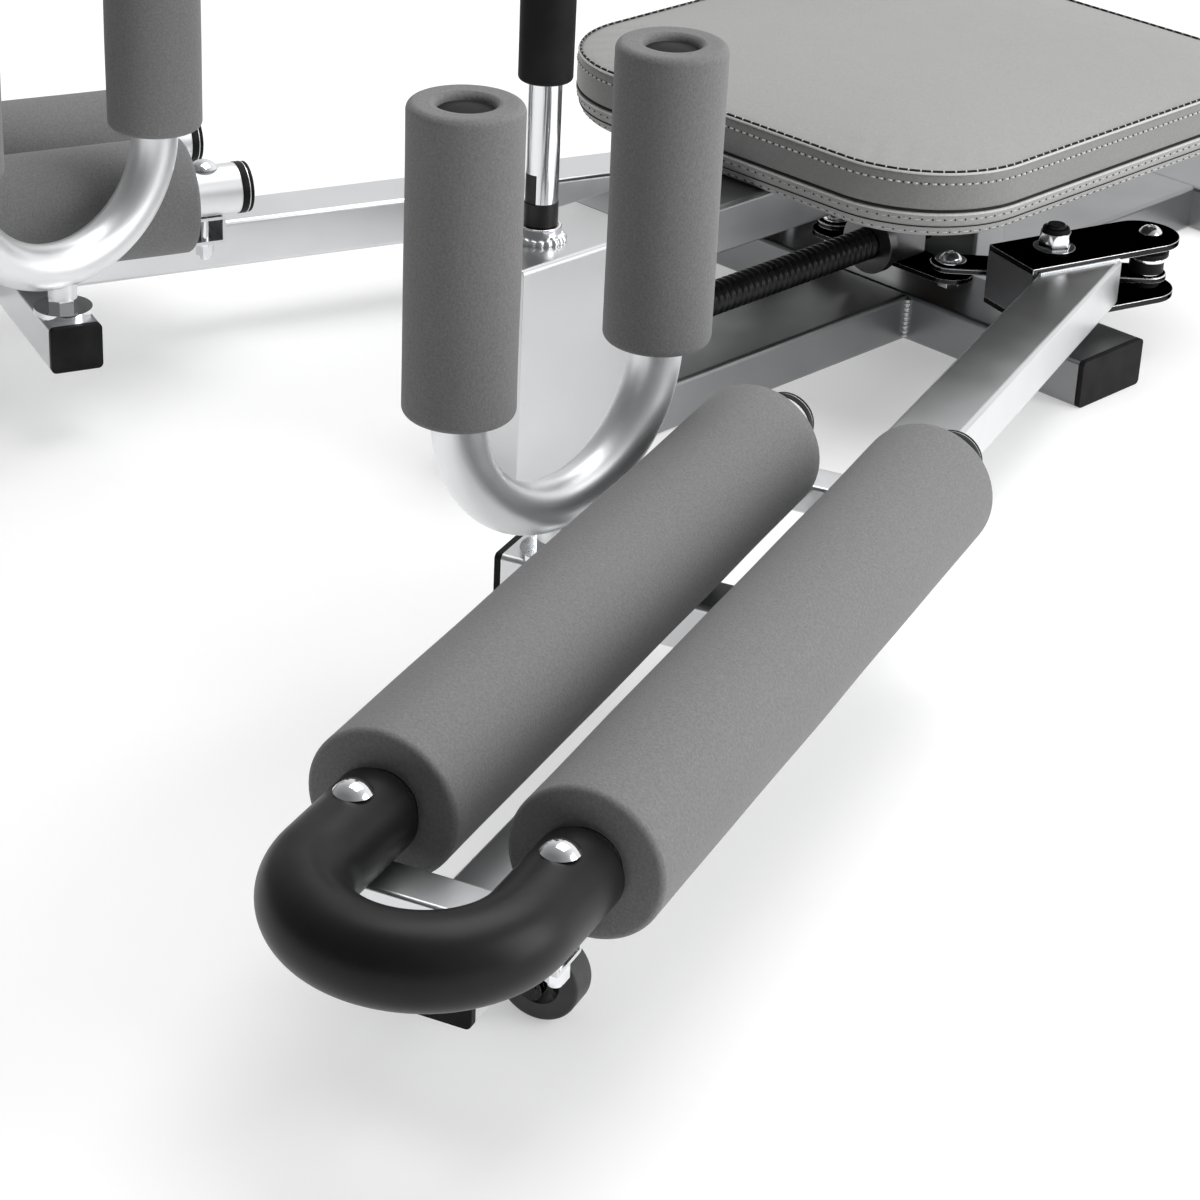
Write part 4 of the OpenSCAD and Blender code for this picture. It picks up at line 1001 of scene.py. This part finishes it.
# painted shade: the side band's faces take the darker vinyl
cover.data.materials.append(band_vinyl_painted_shade)
face_height = face_centres(cover.data)[:, 2]
painted_shade_band_faces = (face_height > LOW_SEAM) & (face_height < TOP_SEAM)
cover.data.polygons.foreach_set("material_index", painted_shade_band_faces.astype(np.int32))
finer = cover.modifiers.new("finer", "SUBSURF")
finer.levels = finer.render_levels = 1
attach(cover, BODY["seat_pad"])
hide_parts("seat_pad")
print("cover faces on the side band:", int(painted_shade_band_faces.sum()))

# %% [markdown]
# ### Stitches
# Thread shows as arched stitches 7 to 9 mm apart. Between them a short dark
# piece sunk below the cover is painted shade in the needle hole. All stitches of
# a row are worked out in one array: a short bent centreline for each, and a
# six-sided section round it. Each stitch looks up its place and its normal on
# the finished cover.
# %% Thread and stitches
thread = finish("seam_thread", (0.62, 0.62, 0.6), 0.6, Sheen_Weight=0.3)
tint(thread, noise(thread, 900, 2), (0.5, 0.5, 0.48), (0.68, 0.68, 0.66))
bump(thread, noise(thread, 2500, 2), 0.0002, 0.5)
# painted shade: a near black for the seam valley, the seam gap, the crease and the needle holes
seam_painted_shade = finish("seam_shadow", 0.012, 0.7, Specular_IOR_Level=0.2)
tint(seam_painted_shade, noise(seam_painted_shade, 300, 2), 0.008, 0.02)
# painted highlight on the folded edges; the same light vinyl is also the thread line at the top seam
fold_highlight_and_stitch_vinyl = finish("painted_fold_highlight_and_stitches", (0.55, 0.55, 0.54), 0.5)
tint(fold_highlight_and_stitch_vinyl, noise(fold_highlight_and_stitch_vinyl, 400, 3), (0.5, 0.5, 0.49), (0.6, 0.6, 0.59))
bump(fold_highlight_and_stitch_vinyl, noise(fold_highlight_and_stitch_vinyl, 700, 2), 0.0002, 0.4)
SKIN = BVHTree.FromObject(cover, bpy.context.evaluated_depsgraph_get())
MM = 0.001
LOOP, THREAD_RINGS, THREAD_SIDES = 1600, 5, 6
ROWS = [  # name, inset, height, material, length, pitch, radius, shift, proud (mm, shift in stitches)
    # the top_seam row is the light thread line at the top seam; the rows of sunk dark pieces are painted
    # shade in the needle holes
    ("top_seam", 2.4, 53.6, fold_highlight_and_stitch_vinyl, 2.8, 8.6, 1.0, 0.0, 1.5),
    ("band", 0.3, 44.5, thread, 4.3, 6.6, 0.7, 0.0, 0.8),
    ("band_hole_shade", 0.3, 44.5, seam_painted_shade, 2.0, 6.6, 1.0, 0.5, -0.2),
    ("lower_upper", 0.9, 16.2, thread, 5.2, 8.4, 0.4, 0.0, 0.5),
    ("lower_upper_hole_shade", 0.9, 16.2, seam_painted_shade, 2.2, 8.4, 0.95, 0.5, -0.2),
    ("lower_edge", 5.2, 4.9, thread, 5.2, 8.4, 0.4, 0.0, 0.5),
    ("lower_edge_hole_shade", 5.2, 4.9, seam_painted_shade, 2.2, 8.4, 0.95, 0.5, -0.2),
]


def row_places(inset, height, pitch, shift):
    """Point p, tangent t, side and normal n of each stitch on the cover."""
    loop = outline(inset, LOOP)
    around = np.linalg.norm(loop - np.roll(loop, -1, 0), axis=1).sum()
    count = int(around / pitch)
    at = np.floor((np.arange(count) + shift) * LOOP / count).astype(int) % LOOP
    mid = np.c_[loop[at], np.full(count, BOARD_BOTTOM + height)]
    tangent = np.c_[np.roll(loop, -4, 0)[at] - np.roll(loop, 4, 0)[at], np.zeros(count)]
    tangent /= np.linalg.norm(tangent, axis=1, keepdims=True)
    hits = [SKIN.find_nearest(Vector(p)) for p in mid]
    mid = np.array([h[0] for h in hits])
    normal = np.array([h[1] for h in hits])
    side = np.cross(tangent, normal)
    side /= np.linalg.norm(side, axis=1, keepdims=True)
    return mid, tangent, side, normal


def stitch_row(name, inset, height, material, length, pitch, r, shift, proud):
    """Stitch k has centreline p + s length t + (proud r - 1.7 r (2s)^2) n for s
    in -0.5..0.5, where n is the normal of the cover at the point p."""
    mid, tangent, side, normal = row_places(inset, height, pitch, shift)
    s = np.linspace(-0.5, 0.5, THREAD_RINGS)
    centre = (mid[:, None] + s[None, :, None] * length * tangent[:, None]
              + (r * proud - 1.7 * r * (2 * s) ** 2)[None, :, None] * normal[:, None])
    a, b = disc(1, THREAD_SIDES).T
    size = r * np.array([0.5, 1, 1, 1, 0.5])
    ring = a[:, None] * side[:, None, None] + b[:, None] * normal[:, None, None]
    points = centre[:, :, None] + size[None, :, None, None] * ring
    one, step = tube_faces(THREAD_RINGS, THREAD_SIDES), THREAD_RINGS * THREAD_SIDES
    faces = [[i + step * k for i in face] for k in range(len(mid)) for face in one]
    add_mesh(name, points, faces, BODY["seat_pad"], material, "vinyl")


for row, inset, height, material, length, pitch, r, shift, proud in ROWS:
    stitch_row("stitches_" + row, inset * MM, height * MM, material, length * MM, pitch * MM, r * MM,
               shift, proud)
print("stitch rows:", len(ROWS))

# %% [markdown]
# ### Seam lines
# A dark cord, painted shade in the valley, and a light cord, a painted
# highlight on the folded edge, run round the top. Another such pair runs round
# the lower seam, and a thin dark cord below it is painted shade in the crease.
# Each is a thin cord that lies half in the cover.
# %% Seam lines
SEAM_POINTS, SEAM_SIDES = 480, 8
SEAM_LINES = [  # name, inset, height above the beam, radius (mm), material
    ("top_valley_shade", 2.4, 53.6, 0.9, seam_painted_shade),
    ("top_fold_highlight", 1.3, 52.0, 1.0, fold_highlight_and_stitch_vinyl),
    ("lower_seam_shade", 1.2, 23.0, 1.3, seam_painted_shade),
    ("lower_crease_shade", 2.7, 10.0, 0.45, seam_painted_shade),
    ("lower_fold_highlight", 1.0, 20.4, 1.2, fold_highlight_and_stitch_vinyl),
]
for name, inset, height, r, material in SEAM_LINES:
    path = np.c_[outline(inset * MM, SEAM_POINTS), np.full(SEAM_POINTS, BOARD_BOTTOM + height * MM)]
    add_mesh(name, sweep(path, disc(r * MM, SEAM_SIDES), (0, 0, 1), True),
             tube_faces(SEAM_POINTS, SEAM_SIDES, True), BODY["seat_pad"], material, "vinyl")
print("seam lines:", len(SEAM_LINES))

# %% [markdown]
# ## The screw's thread
# A real thread is a helix, not a stack of rings. Its radius at angle t and
# place y only depends on y - pitch x t / turn, so one periodic profile gives
# the whole screw, and it fades out where the plain journals begin.
# %% Screw thread
SCREW_Z, SCREW_SIDES, RING_GAP, NEXT = 0.076, 44, 0.0007, 0.0001
SCREW_FRONT, STEP, SCREW_REAR = -0.419, -0.3621, 0.0659
THREAD_FRONT, THREAD_REAR = -0.348, 0.030
THREAD_PITCH, THREAD_DEPTH, FADE = 0.007, 0.0022, 0.006


def core_radius(y):
    """Front journal, then a collar, the core under the thread and the rear
    journal."""
    front = np.where(y < STEP, 0.007, 0.0099)
    return np.where(y < THREAD_FRONT, front, np.where(y > THREAD_REAR, 0.0068, 0.0113))


def threaded_rod(name, node, material):
    """Radius = core + depth x fade(y) x crest(phase), phase = y/pitch - t/turn,
    and crest rises and falls in a smooth step."""
    y = np.r_[SCREW_FRONT, STEP, np.linspace(STEP + NEXT, THREAD_FRONT - NEXT, 8),
              np.arange(THREAD_FRONT, THREAD_REAR, RING_GAP), THREAD_REAR + NEXT, SCREW_REAR][:, None]
    t = np.linspace(0, TAU, SCREW_SIDES, endpoint=False)
    ridge = 0.5 - 0.5 * np.cos(TAU * ((y / THREAD_PITCH - t / TAU) % 1.0))
    crest = np.clip((ridge - 0.18) / 0.5, 0, 1)
    crest = crest * crest * (3 - 2 * crest)
    fade = np.clip((y - THREAD_FRONT) / FADE, 0, 1) * np.clip((THREAD_REAR - y) / FADE, 0, 1)
    r = core_radius(y) + THREAD_DEPTH * fade * crest
    points = np.stack([r * np.cos(t), y + 0 * r, SCREW_Z + r * np.sin(t)], -1)
    piece = add_mesh(name, points, tube_faces(len(y), SCREW_SIDES), BODY[node], material, SLOT[node])
    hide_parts(node)
    print("thread turns:", round((THREAD_REAR - THREAD_FRONT) / THREAD_PITCH))


threaded_rod("screw_thread", "lead_screw", blackened)
